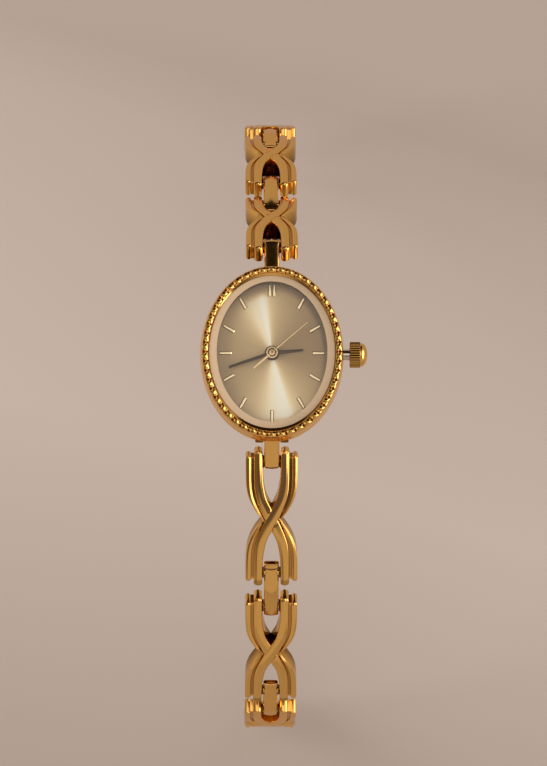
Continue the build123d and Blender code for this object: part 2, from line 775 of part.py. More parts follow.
with BuildPart() as winding_stem:
    with BuildSketch(Plane.YZ.offset(stem_inner_end)):
        with Locations((0, crown_height)):
            Circle(stem_radius)
    extrude(amount=crown_start + crown_recess_depth - stem_inner_end)
keep(winding_stem.part, "winding_stem")

# Crossed link: quarter plan mirrored, bowed lengthwise, with the rib grooves cut in its top
bow_centre = -sqrt(link_bow_radius**2 - link_pin_reach**2)
bow_top = link_bow_radius + link_thickness / 2
bow_bottom = link_bow_radius - link_thickness / 2
block_height = 2 * link_thickness

with BuildPart() as link_grooves:
    with BuildSketch(Plane.XY):
        with BuildLine():
            Polyline(
                (rib_split_start_x, rib_split_start),
                (inner_rib_edge, rib_split_bend),
                (inner_rib_edge, inner_end + cut_over),
                (outer_rib_edge, inner_end + cut_over),
                (outer_rib_edge, rib_split_out),
                close=True,
            )
        make_face()
        mirror(about=Plane.YZ)
        mirror(about=Plane.XZ)
        for way in (-1, 1):
            over_length = hypot(waist_half_width, opening_point)
            over_turn = degrees(atan2(opening_point, waist_half_width))
            with Locations(
                Location((-way * waist_half_width / 2, way * opening_point / 2), -over_turn)
            ):
                Rectangle(over_length, over_groove_width)
    extrude(amount=block_height, both=True)
    with BuildSketch(Plane.YZ):
        with Locations((0, bow_centre)):
            Circle(bow_top + cut_over)
            Circle(bow_top - rib_groove_depth, mode=Mode.SUBTRACT)
    extrude(amount=link_half_width, both=True, mode=Mode.INTERSECT)

with BuildPart() as crossed_link:
    with BuildSketch(Plane.XY) as link_plan:
        with BuildLine():
            Polyline(
                (0, 0),
                (waist_half_width, 0),
                (link_half_width, outer_bend),
                (link_half_width, outer_end),
                (outer_rib_edge, outer_end),
                (outer_rib_edge, outer_end - cut_over),
                (inner_rib_edge, outer_end - cut_over),
                (inner_rib_edge, inner_end),
                (opening_half_width, inner_end),
                (opening_half_width, opening_bend),
                (0, opening_point),
                close=True,
            )
        make_face()
        fillet(link_plan.vertices().sort_by_distance((link_half_width, outer_bend))[0], outer_bend_radius)
        fillet(
            link_plan.vertices().sort_by_distance((opening_half_width, opening_bend))[0],
            opening_bend_radius,
        )
        for corner in (
            (link_half_width, outer_end),
            (outer_rib_edge, outer_end),
            (inner_rib_edge, inner_end),
            (opening_half_width, inner_end),
        ):
            fillet(link_plan.vertices().sort_by_distance(corner)[0], strand_corner)
        mirror(about=Plane.YZ)
        mirror(about=Plane.XZ)
    extrude(amount=block_height, both=True)
    with BuildSketch(Plane.YZ):
        with Locations((0, bow_centre)):
            Circle(bow_top)
            Circle(bow_bottom, mode=Mode.SUBTRACT)
    extrude(amount=2 * link_half_width, both=True, mode=Mode.INTERSECT)
    add(link_grooves.part, mode=Mode.SUBTRACT)
    with BuildSketch(Plane.YZ):
        with Locations((-link_pin_reach, 0), (link_pin_reach, 0)):
            Circle(pin_radius + seat_gap)
    extrude(amount=2 * link_half_width, both=True, mode=Mode.SUBTRACT)

with BuildPart() as link_pins:
    with BuildSketch(Plane.YZ):
        with Locations((-link_pin_reach, 0), (link_pin_reach, 0)):
            Circle(pin_radius)
    extrude(amount=link_half_width - pin_recess, both=True)


def connector(pitch, root, end, width):
    """A bar with round ends between two pins, from its first pin at the origin along +Y."""
    with BuildPart() as bar:
        with BuildSketch(Plane.YZ):
            with Locations(((pitch + end - root) / 2, 0)):
                SlotOverall(pitch + end + root, connector_thickness)
            with Locations((0, 0), (pitch, 0)):
                Circle(pin_radius + running_gap, mode=Mode.SUBTRACT)
        extrude(amount=width / 2, both=True)
    return bar


end_connector_width = 2 * (pocket_half_width - cell_gap)
end_connector = connector(end_connector_pitch, end_connector_root, tongue_end, end_connector_width)
middle_connector = connector(connector_pitch, connector_end, connector_end, connector_width)

# Spring bar through the ears of the case
with BuildPart() as spring_bar:
    with BuildSketch(Plane.YZ):
        Circle(pin_radius)
    extrude(amount=ear_outer - pin_recess, both=True)


def along(way, tilts):
    """Places of the links down one side: each stands on its first pin, with +Y outwards."""
    y = lug_pin_y
    z = lug_pin_z
    places = []
    for tilt, pitch in zip(tilts, link_pitches + (0,)):
        spin = 0 if way > 0 else 180
        places.append(Location((0, way * y, z), (-way * tilt, 0, 0)) * Location((0, 0, 0), (0, 0, spin)))
        y += pitch * cos(radians(tilt))
        z -= pitch * sin(radians(tilt))
    return places


to_first_pin = Location((0, link_pin_reach, 0))
side_places = {}
for way, side, tilts in ((-1, "lower", lower_tilts), (1, "upper", upper_tilts)):
    places = along(way, tilts)
    side_places[side] = places
    keep(spring_bar.part.moved(Location((0, way * lug_pin_y, lug_pin_z))), f"{side}_spring_bar")
    keep(end_connector.part.moved(places[0]), f"{side}_end_connector")
    for n in range(3):
        keep(crossed_link.part.moved(places[2 * n + 1] * to_first_pin), f"{side}_cross_link_{n + 1}")
        keep(link_pins.part.moved(places[2 * n + 1] * to_first_pin), f"{side}_link_pins_{n + 1}")
    for n in range(2):
        keep(middle_connector.part.moved(places[2 * n + 2]), f"{side}_connector_{n + 1}")

# Clasp plate at the 6 o'clock end: tongue, floor, two hinge lugs and a hook
with BuildPart() as clasp_plate:
    with BuildSketch(Plane.YZ):
        with Locations(((clasp_start + clasp_hinge_reach - tongue_end) / 2, 0)):
            SlotOverall(clasp_start + clasp_hinge_reach + tongue_end, tongue_thickness)
    extrude(amount=connector_width / 2, both=True)
    with BuildSketch(Plane.XY.offset(clasp_floor)):
        with Locations((0, clasp_start + clasp_length / 2)):
            RectangleRounded(2 * clasp_half_width, clasp_length, strand_corner)
    extrude(amount=clasp_top - clasp_floor)
    lug_middle = clasp_half_width - clasp_lug_width / 2
    for side in (-1, 1):
        with BuildSketch(Plane.YZ.offset(side * lug_middle)):
            with Locations((clasp_hinge_reach, clasp_hinge_z)):
                Circle(clasp_lug_radius)
            with Locations((clasp_hinge_reach, (clasp_hinge_z + clasp_floor) / 2)):
                Rectangle(2 * clasp_lug_radius, clasp_hinge_z - clasp_floor)
        extrude(amount=clasp_lug_width / 2, both=True)
    clasp_end = clasp_start + clasp_length
    with BuildSketch(Plane.YZ):
        with BuildLine():
            Polyline(
                (clasp_end - hook_wall, clasp_floor),
                (clasp_end - hook_wall, hook_top - hook_wall),
                (clasp_end - hook_wall - hook_lip, hook_top - hook_wall),
                (clasp_end - hook_wall - hook_lip, hook_top),
                (clasp_end, hook_top),
                (clasp_end, clasp_floor),
                close=True,
            )
        make_face()
    extrude(amount=connector_width / 2, both=True)
    with BuildSketch(Plane.YZ):
        Circle(pin_radius + running_gap)
    extrude(amount=connector_width, both=True, mode=Mode.SUBTRACT)
    with BuildSketch(Plane.YZ):
        with Locations((clasp_hinge_reach, clasp_hinge_z)):
            Circle(cover_pin_radius + running_gap)
    extrude(amount=clasp_half_width + cut_over, both=True, mode=Mode.SUBTRACT)

# Clasp cover: a shallow lid whose two walls close over the plate, and its pin
cover_half_width = clasp_half_width + cover_clear + cover_wall
with BuildPart() as clasp_cover:
    cover_start = clasp_hinge_reach - cover_nose
    with BuildSketch(Plane.YZ):
        with BuildLine():
            Polyline(
                (cover_start, clasp_hinge_z),
                (cover_start, cover_skin_z),
                (cover_end, cover_skin_z),
                (cover_end, cover_wall_floor),
                (clasp_hinge_reach + cover_nose, cover_wall_floor),
                (clasp_hinge_reach, clasp_hinge_z - cover_nose),
                close=True,
            )
        make_face()
    extrude(amount=cover_half_width, both=True)
    fillet(clasp_cover.faces().sort_by(Axis.Z)[-1].edges().filter_by(Axis.Y), cover_skin / 2)
    with BuildSketch(Plane.YZ):
        with Locations(((cover_start + cover_end) / 2, cover_skin_z - cover_skin - block_height / 2)):
            Rectangle(cover_end - cover_start + 2 * cut_over, block_height)
    extrude(amount=clasp_half_width + cover_clear, both=True, mode=Mode.SUBTRACT)
    with BuildSketch(Plane.YZ):
        with Locations((clasp_hinge_reach + cover_skin_start - cover_nose, clasp_hinge_z)):
            Rectangle(2 * cover_nose, block_height)
    extrude(amount=clasp_half_width + cover_clear, both=True, mode=Mode.SUBTRACT)
    with BuildSketch(Plane.YZ):
        with Locations((clasp_hinge_reach, clasp_hinge_z)):
            Circle(cover_pin_radius + seat_gap)
    extrude(amount=cover_half_width + cut_over, both=True, mode=Mode.SUBTRACT)

with BuildPart() as clasp_pin:
    with BuildSketch(Plane.YZ):
        with Locations((clasp_hinge_reach, clasp_hinge_z)):
            Circle(cover_pin_radius)
    extrude(amount=cover_half_width - pin_recess, both=True)

# Catch at the 12 o'clock end: tongue, yoke with two arms, and the bar that the hook takes
with BuildPart() as catch_yoke:
    with BuildSketch(Plane.YZ):
        with Locations(((catch_start + catch_arm - tongue_end) / 2, 0)):
            SlotOverall(catch_start + catch_arm + tongue_end, tongue_thickness)
    extrude(amount=connector_width / 2, both=True)
    with BuildSketch(Plane.XY):
        with Locations((0, (catch_start + catch_end) / 2)):
            RectangleRounded(2 * catch_half_width, catch_end - catch_start, strand_corner)
        with Locations((0, (catch_start + catch_end) / 2 + catch_arm)):
            Rectangle(2 * (catch_half_width - catch_arm), catch_end - catch_start, mode=Mode.SUBTRACT)
    extrude(amount=catch_thickness / 2, both=True)
    with BuildSketch(Plane.YZ):
        Circle(pin_radius + running_gap)
        with Locations((catch_bar_reach, 0)):
            Circle(catch_bar_radius + seat_gap)
    extrude(amount=catch_half_width + cut_over, both=True, mode=Mode.SUBTRACT)

with BuildPart() as catch_bar:
    with BuildSketch(Plane.YZ):
        with Locations((catch_bar_reach, 0)):
            Circle(catch_bar_radius)
    extrude(amount=catch_half_width - pin_recess, both=True)

lower_end, upper_end = side_places["lower"][-1], side_places["upper"][-1]
for name, piece, place in (
    ("clasp_plate", clasp_plate, lower_end),
    ("clasp_cover", clasp_cover, lower_end),
    ("clasp_pin", clasp_pin, lower_end),
    ("catch_yoke", catch_yoke, upper_end),
    ("catch_bar", catch_bar, upper_end),
):
    keep(piece.part.moved(place), name)
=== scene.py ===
import json
from functools import partial

import bpy
import numpy as np
from mathutils import Matrix, Vector


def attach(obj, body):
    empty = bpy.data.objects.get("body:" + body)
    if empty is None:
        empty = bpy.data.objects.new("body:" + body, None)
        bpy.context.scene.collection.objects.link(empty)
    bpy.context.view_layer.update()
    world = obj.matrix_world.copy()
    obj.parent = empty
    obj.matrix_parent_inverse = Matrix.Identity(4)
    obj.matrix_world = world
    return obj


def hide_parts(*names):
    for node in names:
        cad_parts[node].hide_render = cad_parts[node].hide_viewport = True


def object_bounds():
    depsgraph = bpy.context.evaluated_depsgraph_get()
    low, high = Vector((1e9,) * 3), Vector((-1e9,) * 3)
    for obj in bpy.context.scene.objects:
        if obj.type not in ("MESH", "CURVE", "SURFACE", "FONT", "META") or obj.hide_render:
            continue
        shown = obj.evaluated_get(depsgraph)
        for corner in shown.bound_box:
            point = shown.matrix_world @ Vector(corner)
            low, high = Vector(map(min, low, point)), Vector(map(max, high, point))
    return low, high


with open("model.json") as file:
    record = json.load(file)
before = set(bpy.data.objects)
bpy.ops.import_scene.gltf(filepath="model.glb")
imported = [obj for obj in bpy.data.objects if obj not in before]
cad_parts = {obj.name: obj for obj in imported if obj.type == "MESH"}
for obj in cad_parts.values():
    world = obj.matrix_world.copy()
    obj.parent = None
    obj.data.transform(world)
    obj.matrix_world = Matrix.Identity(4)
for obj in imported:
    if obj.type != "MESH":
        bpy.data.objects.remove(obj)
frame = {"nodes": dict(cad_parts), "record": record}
cad_low, cad_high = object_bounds()
nodes = frame["nodes"]

MM = 0.001

# Measures, in millimetres

# Ovals of the head, as half sizes across and along.
CASE = np.array([10.1, 12.4])
OPENING = np.array([8.9, 10.85])
GLASS = np.array([8.86, 10.81])
PANE = np.array([7.76, 9.96])
SIGHT = np.array([7.85, 9.9])
BORE = np.array([8.35, 10.25])
RING = np.array([9.4, 11.7])
# Heights of the head above the case back's outer face.
BAND_FOOT, BAND_TOP = 0.7, 4.3
GLASS_FOOT, GLASS_EDGE, GLASS_TOP = 5.42, 5.6, 6.06
RING_FOOT, RING_CREST = 5.62, 5.97
HOUR_LEVEL, MINUTE_LEVEL, SECOND_LEVEL = 4.42, 4.72, 5.02
# Bead ring: half its width, its units, the samples of each unit and a unit's length.
RING_HALF, BEAD_COUNT, BEAD_STEPS, BEAD_PITCH = 0.46, 50, 28, 1.32
# Crossed link: half its pins' distance, its arc's radius, its thickness, and its ribs' reach.
LINK_REACH, LINK_BOW, LINK_THICK = 8.3, 52.0, 2.1
INNER_END, OUTER_END = 10.1, 9.4
# Hinge at the case: outward distance and height of its pin, and the ears' span and radius.
LUG_PIN = (11.75, 2.3)
EAR = (1.17, 2.35, 0.63)
# Pocket for the end connector: half width, where its back wall stands, and its top.
POCKET = (1.17, 10.7, 3.4)
# Distances between hinge pins down a side, and each piece's tilt below the case's plane.
PITCHES = (3.85, 16.6, 6.3, 16.6, 6.3, 16.6)
TILTS = {
    "lower": (40.0, 28.0, 49.5, 51.0, 70.5, 92.0, 104.0),
    "upper": (12.0, 59.0, 51.0, 59.7, 65.6, 84.0, 97.0),
}
# Connectors: half their thickness, and how far the ends of a middle one's top drop.
BAR_HALF, BAR_ARCH = 0.85, 0.75
# Half width of a middle and of an end connector, and how far each reaches past its two pins.
MIDDLE_HALF, MIDDLE_PAST = 1.04, (1.5, 2.05)
END_HALF, END_PAST = 1.07, (0.8, 1.1)
# Markers: the oval that their outer ends follow, their length, and the dial they stand on.
MARKER_EDGE, MARKER_LENGTH, DIAL_TOP = (7.41, 9.83), 1.75, 4.26
# Outer and inner width of a marker, and of the two at 12, which stand that far to each side.
MARKER_WIDTHS, TWELVE_WIDTHS, TWELVE_OFFSET = (0.42, 0.54), (0.32, 0.58), 0.31
# Crown: where it starts, its axis, its wall and its dome; then its flutes and their depth.
CROWN_START, CROWN_Z, CROWN_RADIUS, CROWN_LENGTH, CROWN_DOME = 10.9, 2.9, 1.82, 1.5, 1.0
FLUTES, FLUTE_DEPTH = 32, 0.17
# Sizes of the patterns that the finishes are made of.
CLOUD, MOTTLE = 2.38, 1.11


# Meshes


def build(name, parts, material, body, replaced=(), crease=38):
    """One object from closed grids, in millimetres and in the frame's own place.

    Each part is (points, faces) or (points, faces, shade). shade, 0 to 1, is painted shade: it
    darkens the colour in hollows and on walls, where shade falls.
    """
    verts, faces, shades, start = [], [], [], 0
    for points, quads, *shade in parts:
        verts.append(np.asarray(points, float).reshape(-1, 3) * MM)
        faces += [tuple(start + i for i in f) for f in quads]
        shades.append(shade[0] if shade else np.zeros(len(verts[-1])))
        start += len(verts[-1])
    mesh = bpy.data.meshes.new(name)
    mesh.from_pydata(np.concatenate(verts).tolist(), [], faces)
    # This attribute carries the painted shade, 0 to 1, of each point.
    painted_shade = mesh.attributes.new("painted_shade", "FLOAT", "POINT")
    painted_shade.data.foreach_set("value", np.concatenate(shades))
    mesh.polygons.foreach_set("use_smooth", [True] * len(mesh.polygons))
    mesh.set_sharp_from_angle(angle=np.radians(crease))
    mesh.materials.append(material)
    piece = bpy.data.objects.new(name, mesh)
    bpy.context.scene.collection.objects.link(piece)
    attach(piece, body)
    if replaced:
        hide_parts(*replaced)
    return piece


def tube(rings, flip=False):
    """Closed skin over (n, m, 3) rings, each ring closed; both ends run into a middle point."""
    n, m, _ = rings.shape
    points = np.concatenate([rings.reshape(-1, 3), [rings[0].mean(0)], [rings[-1].mean(0)]])
    i = np.arange(n - 1)[:, None] * m
    j = np.arange(m)[None, :]
    k = (j + 1) % m
    quads = np.stack([i + j, i + k, i + m + k, i + m + j], -1).reshape(-1, 4)
    first, last = n * m, n * m + 1
    j, k = np.arange(m), (np.arange(m) + 1) % m
    low = np.stack([k, j, np.full(m, first)], -1)
    high = np.stack([(n - 1) * m + j, (n - 1) * m + k, np.full(m, last)], -1)
    faces = quads.tolist() + low.tolist() + high.tolist()
    if flip:
        faces = [f[::-1] for f in faces]
    return points, faces


def torus(rings, flip=False):
    """Closed skin over (n, m, 3) rings that wrap both ways."""
    n, m, _ = rings.shape
    i = np.arange(n)[:, None] * m
    i2 = ((np.arange(n) + 1) % n)[:, None] * m
    j = np.arange(m)[None, :]
    k = (j + 1) % m
    faces = np.stack([i + j, i + k, i2 + k, i2 + j], -1).reshape(-1, 4).tolist()
    if flip:
        faces = [f[::-1] for f in faces]
    return rings.reshape(-1, 3), faces


def smooth_run(corners, count, blur):
    """A line through corner points at equal steps, its corners softened by a running average."""
    corners = np.asarray(corners, float)
    reach = np.concatenate([[0], np.cumsum(np.hypot(*np.diff(corners, axis=0).T))])
    step = 0.05
    fine = np.arange(0, reach[-1], step)
    line = np.stack([np.interp(fine, reach, corners[:, a]) for a in (0, 1)], -1)
    half = max(1, int(blur / step))
    ahead = 2 * line[0] - line[1 : half + 1][::-1]
    behind = 2 * line[-1] - line[-half - 1 : -1][::-1]
    long = np.concatenate([ahead, line, behind])
    kernel = np.hanning(2 * half + 3)[1:-1]
    kernel /= kernel.sum()
    line = np.stack([np.convolve(long[:, a], kernel, "valid") for a in (0, 1)], -1)
    reach = np.concatenate([[0], np.cumsum(np.hypot(*np.diff(line, axis=0).T))])
    at = np.linspace(0, reach[-1], count)
    return np.stack([np.interp(at, reach, line[:, a]) for a in (0, 1)], -1)


def placed(points, way, pin, tilt):
    """Moves points from a link's frame, first pin at the origin and +Y outwards, to the watch's."""
    turn = np.radians(-way * tilt)
    x, y, z = np.moveaxis(points, -1, 0)
    x, y = way * x, way * y
    cos, sin = np.cos(turn), np.sin(turn)
    out = np.stack([x, y * cos - z * sin, y * sin + z * cos], -1)
    return out + np.array([0, way * pin[0], pin[1]])


def pins(side):
    """The hinge pins down one side, as outward y and z."""
    y, z = LUG_PIN
    out = [(y, z)]
    for tilt, pitch in zip(TILTS[side], PITCHES):
        y += pitch * np.cos(np.radians(tilt))
        z -= pitch * np.sin(np.radians(tilt))
        out.append((y, z))
    return out


def lathe(profile, count, place=lambda a, b, c: np.stack([a, b, c], -1), flutes=None):
    """A profile of (radius, height) points turned about the axis; place sets the three axes."""
    profile = np.asarray(profile, float)
    turn = np.linspace(0, 2 * np.pi, count, endpoint=False)
    radius = np.repeat(profile[:, :1], count, 1)
    if flutes is not None:
        radius = flutes(radius, turn[None, :], profile[:, 1:])
    height = np.repeat(profile[:, 1:], count, 1)
    return place(radius * np.cos(turn), radius * np.sin(turn), height)


# Materials


def linear(code):
    """An sRGB hex colour as linear RGBA."""
    c = np.array([int(code[i : i + 2], 16) / 255 for i in (1, 3, 5)])
    c = np.where(c <= 0.04045, c / 12.92, ((c + 0.055) / 1.055) ** 2.4)
    return (*c.tolist(), 1.0)


def node(tree, kind, links=None, **settings):
    """Adds one node.

    settings are properties, or inputs by name, and links feeds inputs by name or number.
    """
    made = tree.nodes.new(kind)
    for key, value in settings.items():
        if key in made.bl_rna.properties:
            setattr(made, key, value)
        else:
            made.inputs[key.replace("_", " ")].default_value = value
    for key, source in (links or {}).items():
        tree.links.new(source, made.inputs[key])
    return made


def maths(tree, kind, *values):
    """One maths node; each value is a socket or a number."""
    made = node(tree, "ShaderNodeMath", operation=kind)
    for n, value in enumerate(values):
        if isinstance(value, (int, float)):
            made.inputs[n].default_value = value
        else:
            tree.links.new(value, made.inputs[n])
    return made.outputs[0]


def ramp(tree, factor, stops):
    """A colour ramp from (place, hex colour) stops, first and last included."""
    made = node(tree, "ShaderNodeValToRGB", {"Fac": factor})
    elements = made.color_ramp.elements
    for n in (0, -1):
        elements[n].position, elements[n].color = stops[n][0], linear(stops[n][1])
    for place, code in stops[1:-1]:
        elements.new(place).color = linear(code)
    return made.outputs["Color"]


def dimmed(colour, factors):
    """An RGBA colour with its three channels multiplied by one number or by three."""
    return (*(np.array(colour[:3]) * factors).tolist(), 1.0)


def blank(name):
    """A new material with a Principled shader; returns the material, its tree and the shader."""
    material = bpy.data.materials.new(name)
    material.use_nodes = True
    tree = material.node_tree
    return material, tree, tree.nodes["Principled BSDF"]


def metal(name, code, roughness, grain_mm, grain, wear):
    """A metal: base colour with slight clouds and painted shade, a fine grain in its roughness and its
    surface.

    grain_mm is the size of the grain, drawn coarser than the real one so that it shows.
    """
    material, tree, shader = blank(name)
    shader.inputs["Metallic"].default_value = 1.0
    coords = node(tree, "ShaderNodeTexCoord").outputs["Object"]
    clouds = node(tree, "ShaderNodeTexNoise", {"Vector": coords}, Scale=1 / (CLOUD * MM), Detail=3.0)
    base = linear(code)
    mix = node(tree, "ShaderNodeMix", {"Factor": clouds.outputs["Fac"]}, data_type="RGBA")
    mix.inputs[6].default_value = dimmed(base, 1 - wear)
    mix.inputs[7].default_value = base
    # Painted shade: where the mesh's shade attribute is high, the colour turns a dark brown, standing
    # in for the shade in hollows and on walls.
    painted_shade = node(tree, "ShaderNodeAttribute", attribute_name="painted_shade").outputs["Fac"]
    deep = node(tree, "ShaderNodeMix", {"Factor": painted_shade, 6: mix.outputs[2]}, data_type="RGBA")
    deep.inputs[7].default_value = dimmed(base, (0.13, 0.08, 0.05))
    tree.links.new(deep.outputs[2], shader.inputs["Base Color"])
    shader.inputs["Specular Tint"].default_value = tuple(0.62 + 0.35 * c for c in base[:3]) + (1.0,)
    scale = 1 / (grain_mm * MM)
    fine = node(tree, "ShaderNodeTexNoise", {"Vector": coords}, Scale=scale, Detail=4.0)
    spread = node(tree, "ShaderNodeMapRange", {"Value": fine.outputs["Fac"]})
    spread.inputs["To Min"].default_value = roughness * 0.8
    spread.inputs["To Max"].default_value = roughness * 1.25
    tree.links.new(spread.outputs["Result"], shader.inputs["Roughness"])
    if grain > 0:
        bump = node(tree, "ShaderNodeBump", {"Height": fine.outputs["Fac"]}, Strength=grain)
        bump.inputs["Distance"].default_value = 0.02 * MM
        tree.links.new(bump.outputs["Normal"], shader.inputs["Normal"])
    return material


# Gold plating on brass, polished: mirror-like and slightly orange, faintly worn in clouds.
gold = metal("polished_gold_plate", "#FBCC78", roughness=0.12, grain_mm=0.35, grain=0.1, wear=0.06)
# The same plating on small applied pieces, brighter at their edges. Its colour is painted paler
# than the case's gold: a painted highlight for the light their small faces catch.
trim = metal("gold_trim", "#FFEFCB", roughness=0.2, grain_mm=0.3, grain=0.05, wear=0.04)
# Gold hour and minute hands, painted dark brown: a painted reflection of the dark that they mirror.
hand_gold = metal("gold_hands_painted_dark", "#3E2410", roughness=0.3, grain_mm=0.3, grain=0.05, wear=0.05)
# Gilt second hand, a little duller than the markers.
needle_gold = metal("gilt_second_hand", "#F3DAAC", roughness=0.22, grain_mm=0.3, grain=0.05, wear=0.04)
# Satin gold ring under the glass: turned, then lightly blasted. Its shaded inner wall shows.
flange_metal = metal("satin_pale_gold", "#9A7A56", roughness=0.42, grain_mm=0.06, grain=0.25, wear=0.04)
# Stainless steel back, brushed: grey, with a soft blurred shine.
steel_back = metal("brushed_steel", "#C9C6C0", roughness=0.32, grain_mm=0.08, grain=0.4, wear=0.08)
# Turned steel of the screws, the stem, the rotor and the stator: a clean grey shine.
movement_steel = metal("turned_steel", "#B9B7B3", roughness=0.28, grain_mm=0.1, grain=0.2, wear=0.05)
# Gilt brass of the plate, the bridge and the wheels: warm yellow, half matt.
movement_brass = metal("gilt_brass", "#D9B36A", roughness=0.3, grain_mm=0.1, grain=0.2, wear=0.06)
# Nickel-plated steel of the button cell and the crown's tube: bright and slightly warm.
cell_steel = metal("nickel_plated_steel", "#D3D0CA", roughness=0.2, grain_mm=0.1, grain=0.1, wear=0.04)
# Enamelled copper wire, wound: orange brown, with a rough sheen from its turns.
coil_copper = metal("enamelled_copper", "#B5642E", roughness=0.35, grain_mm=0.05, grain=0.5, wear=0.1)


def plain(name, code, roughness):
    """A moulded or coated non-metal with faint mottling."""
    material, tree, shader = blank(name)
    coords = node(tree, "ShaderNodeTexCoord").outputs["Object"]
    scale = 1 / (MOTTLE * MM)
    mottle = node(tree, "ShaderNodeTexNoise", {"Vector": coords}, Scale=scale, Detail=3.0)
    base = linear(code)
    mix = node(tree, "ShaderNodeMix", {"Factor": mottle.outputs["Fac"]}, data_type="RGBA")
    mix.inputs[6].default_value = dimmed(base, 0.88)
    mix.inputs[7].default_value = base
    tree.links.new(mix.outputs[2], shader.inputs["Base Color"])
    shader.inputs["Roughness"].default_value = roughness
    return material


# Nitrile rubber, moulded: matt black.
gasket_rubber = plain("nitrile_rubber", "#2A2622", roughness=0.6)
# Glass-filled epoxy board: dark green, half gloss.
circuit = plain("epoxy_circuit_board", "#2F5A3A", roughness=0.45)
# Acetal, moulded: milky white, half matt.
holder_plastic = plain("moulded_acetal", "#E6E2D8", roughness=0.5)


def sunburst():
    """Champagne dial, brushed outwards from the middle, with its two bright beams as painted
    highlights.
    """
    material, tree, shader = blank("champagne_lacquer_painted_beams")
    coords = node(tree, "ShaderNodeTexCoord").outputs["Object"]
    split = node(tree, "ShaderNodeSeparateXYZ", {"Vector": coords})
    x, y = split.outputs["X"], split.outputs["Y"]
    turn = node(tree, "ShaderNodeMath", {0: x, 1: y}, operation="ARCTAN2").outputs[0]
    sums = partial(maths, tree)

    def beam(angle, power):
        """Brightness round the dial: a cosine about an angle, sharpened by a power."""
        wave = sums("COSINE", sums("SUBTRACT", turn, np.radians(angle).item()))
        return sums("POWER", sums("MAXIMUM", wave, 0.0), power)

    # How far out a point lies, as a share of the way to the oval edge of the dial.
    squares = [
        sums("POWER", sums("DIVIDE", value, size * MM), 2.0)
        for value, size in zip((x, y), SIGHT.tolist())
    ]
    rho = sums("SQRT", sums("ADD", *squares))

    def fade(start, end):
        """1 inside and 0 outside, between two shares of the way to the dial's edge."""
        out = node(tree, "ShaderNodeMapRange", {"Value": rho}, interpolation_type="SMOOTHSTEP")
        out.inputs["From Min"].default_value, out.inputs["From Max"].default_value = end, start
        return out.outputs["Result"]

    # Each lobe of painted light: angle in degrees, sharpness, strength, and where it fades towards
    # the edge. Positive lobes are painted highlights of the brushed beams; the one of negative
    # strength is a painted shadow along the upper right edge.
    painted_lobes = (
        (-9.5, 300.0, 0.4, 0.78, 0.92),
        (-16.0, 24.0, 0.48, 0.78, 0.92),
        (-27.0, 14.0, 0.10, 0.8, 1.0),
        (166.0, 300.0, 0.4, 0.92, 1.0),
        (172.0, 24.0, 0.48, 0.9, 1.0),
        (182.0, 14.0, 0.12, 0.95, 1.1),
        (-16.0, 2.5, 0.26, 0.5, 1.4),
        (172.0, 2.5, 0.34, 0.9, 1.5),
        (-95.0, 2.0, 0.14, 0.9, 1.5),
        (45.0, 1.0, -0.45, 1.05, 0.86),
    )
    light = None
    for angle, power, size, start, end in painted_lobes:
        one = sums("MULTIPLY", sums("MULTIPLY", beam(angle, power), size), fade(start, end))
        light = one if light is None else sums("ADD", light, one)
    across = node(tree, "ShaderNodeCombineXYZ", {"X": turn}).outputs[0]
    streak = node(tree, "ShaderNodeTexNoise", {"Vector": across}, Scale=45.0, Detail=6.0)
    streak.inputs["Roughness"].default_value = 0.75
    streaky = sums("SUBTRACT", streak.outputs["Fac"], 0.5)
    lit = sums("MULTIPLY_ADD", streaky, 0.12, sums("MULTIPLY_ADD", light, 0.85, 0.15))
    stops = ((0.0, "#6B5034"), (0.15, "#967750"), (0.36, "#C7A87A"), (0.57, "#E6CA9C"))
    stops += ((0.79, "#FCE7C2"), (1.0, "#FFF7E4"))
    tree.links.new(ramp(tree, lit, stops), shader.inputs["Base Color"])
    shader.inputs["Metallic"].default_value = 0.05
    shader.inputs["Roughness"].default_value = 0.4
    shader.inputs["Coat Weight"].default_value = 0.15
    shader.inputs["Coat Roughness"].default_value = 0.08
    return material


dial_lacquer = sunburst()


def clear_glass():
    """Mineral glass: lets light straight through and mirrors a little, more so at a glance."""
    material = bpy.data.materials.new("mineral_glass")
    material.use_nodes = True
    tree = material.node_tree
    tree.nodes.clear()
    through = node(tree, "ShaderNodeBsdfTransparent", Color=(0.97, 0.975, 0.965, 1.0))
    mirror = node(tree, "ShaderNodeBsdfGlossy", Color=(1, 1, 1, 1), Roughness=0.015)
    facing = node(tree, "ShaderNodeLayerWeight", Blend=0.5).outputs["Facing"]
    share = maths(tree, "MULTIPLY_ADD", maths(tree, "POWER", facing, 5.0), 0.96, 0.04)
    links = {0: share, 1: through.outputs[0], 2: mirror.outputs[0]}
    both = node(tree, "ShaderNodeMixShader", links)
    node(tree, "ShaderNodeOutputMaterial", {"Surface": both.outputs[0]})
    return material


glass = clear_glass()
# The glass's ground bevel: frosted, so it scatters light like a pale matt band.
ground_glass = plain("ground_mineral_glass", "#D2B491", roughness=0.45)

FINISH = {
    "gold_plate": gold,
    "gold_trim": trim,
    "flange_metal": flange_metal,
    "dial_lacquer": dial_lacquer,
    "mineral_glass": glass,
    "steel_back": steel_back,
    "movement_steel": movement_steel,
    "movement_brass": movement_brass,
    "cell_steel": cell_steel,
    "coil_copper": coil_copper,
    "circuit": circuit,
    "holder_plastic": holder_plastic,
    "gasket": gasket_rubber,
}
for row in frame["record"]["subparts"]:
    shown = nodes[row["node"]].data
    shown.materials.clear()
    shown.materials.append(FINISH[row["material_slot"]])
# The crown's tube isn't gold: it is a steel tube, pressed into the gold-plated case.
nodes["crown_tube"].data.materials[0] = cell_steel


# Bracelet: crossed links


def step(value, low, high):
    """0 below low, 1 above high, and a soft S between them."""
    t = np.clip((value - low) / (high - low), 0, 1)
    return t * t * (3 - 2 * t)


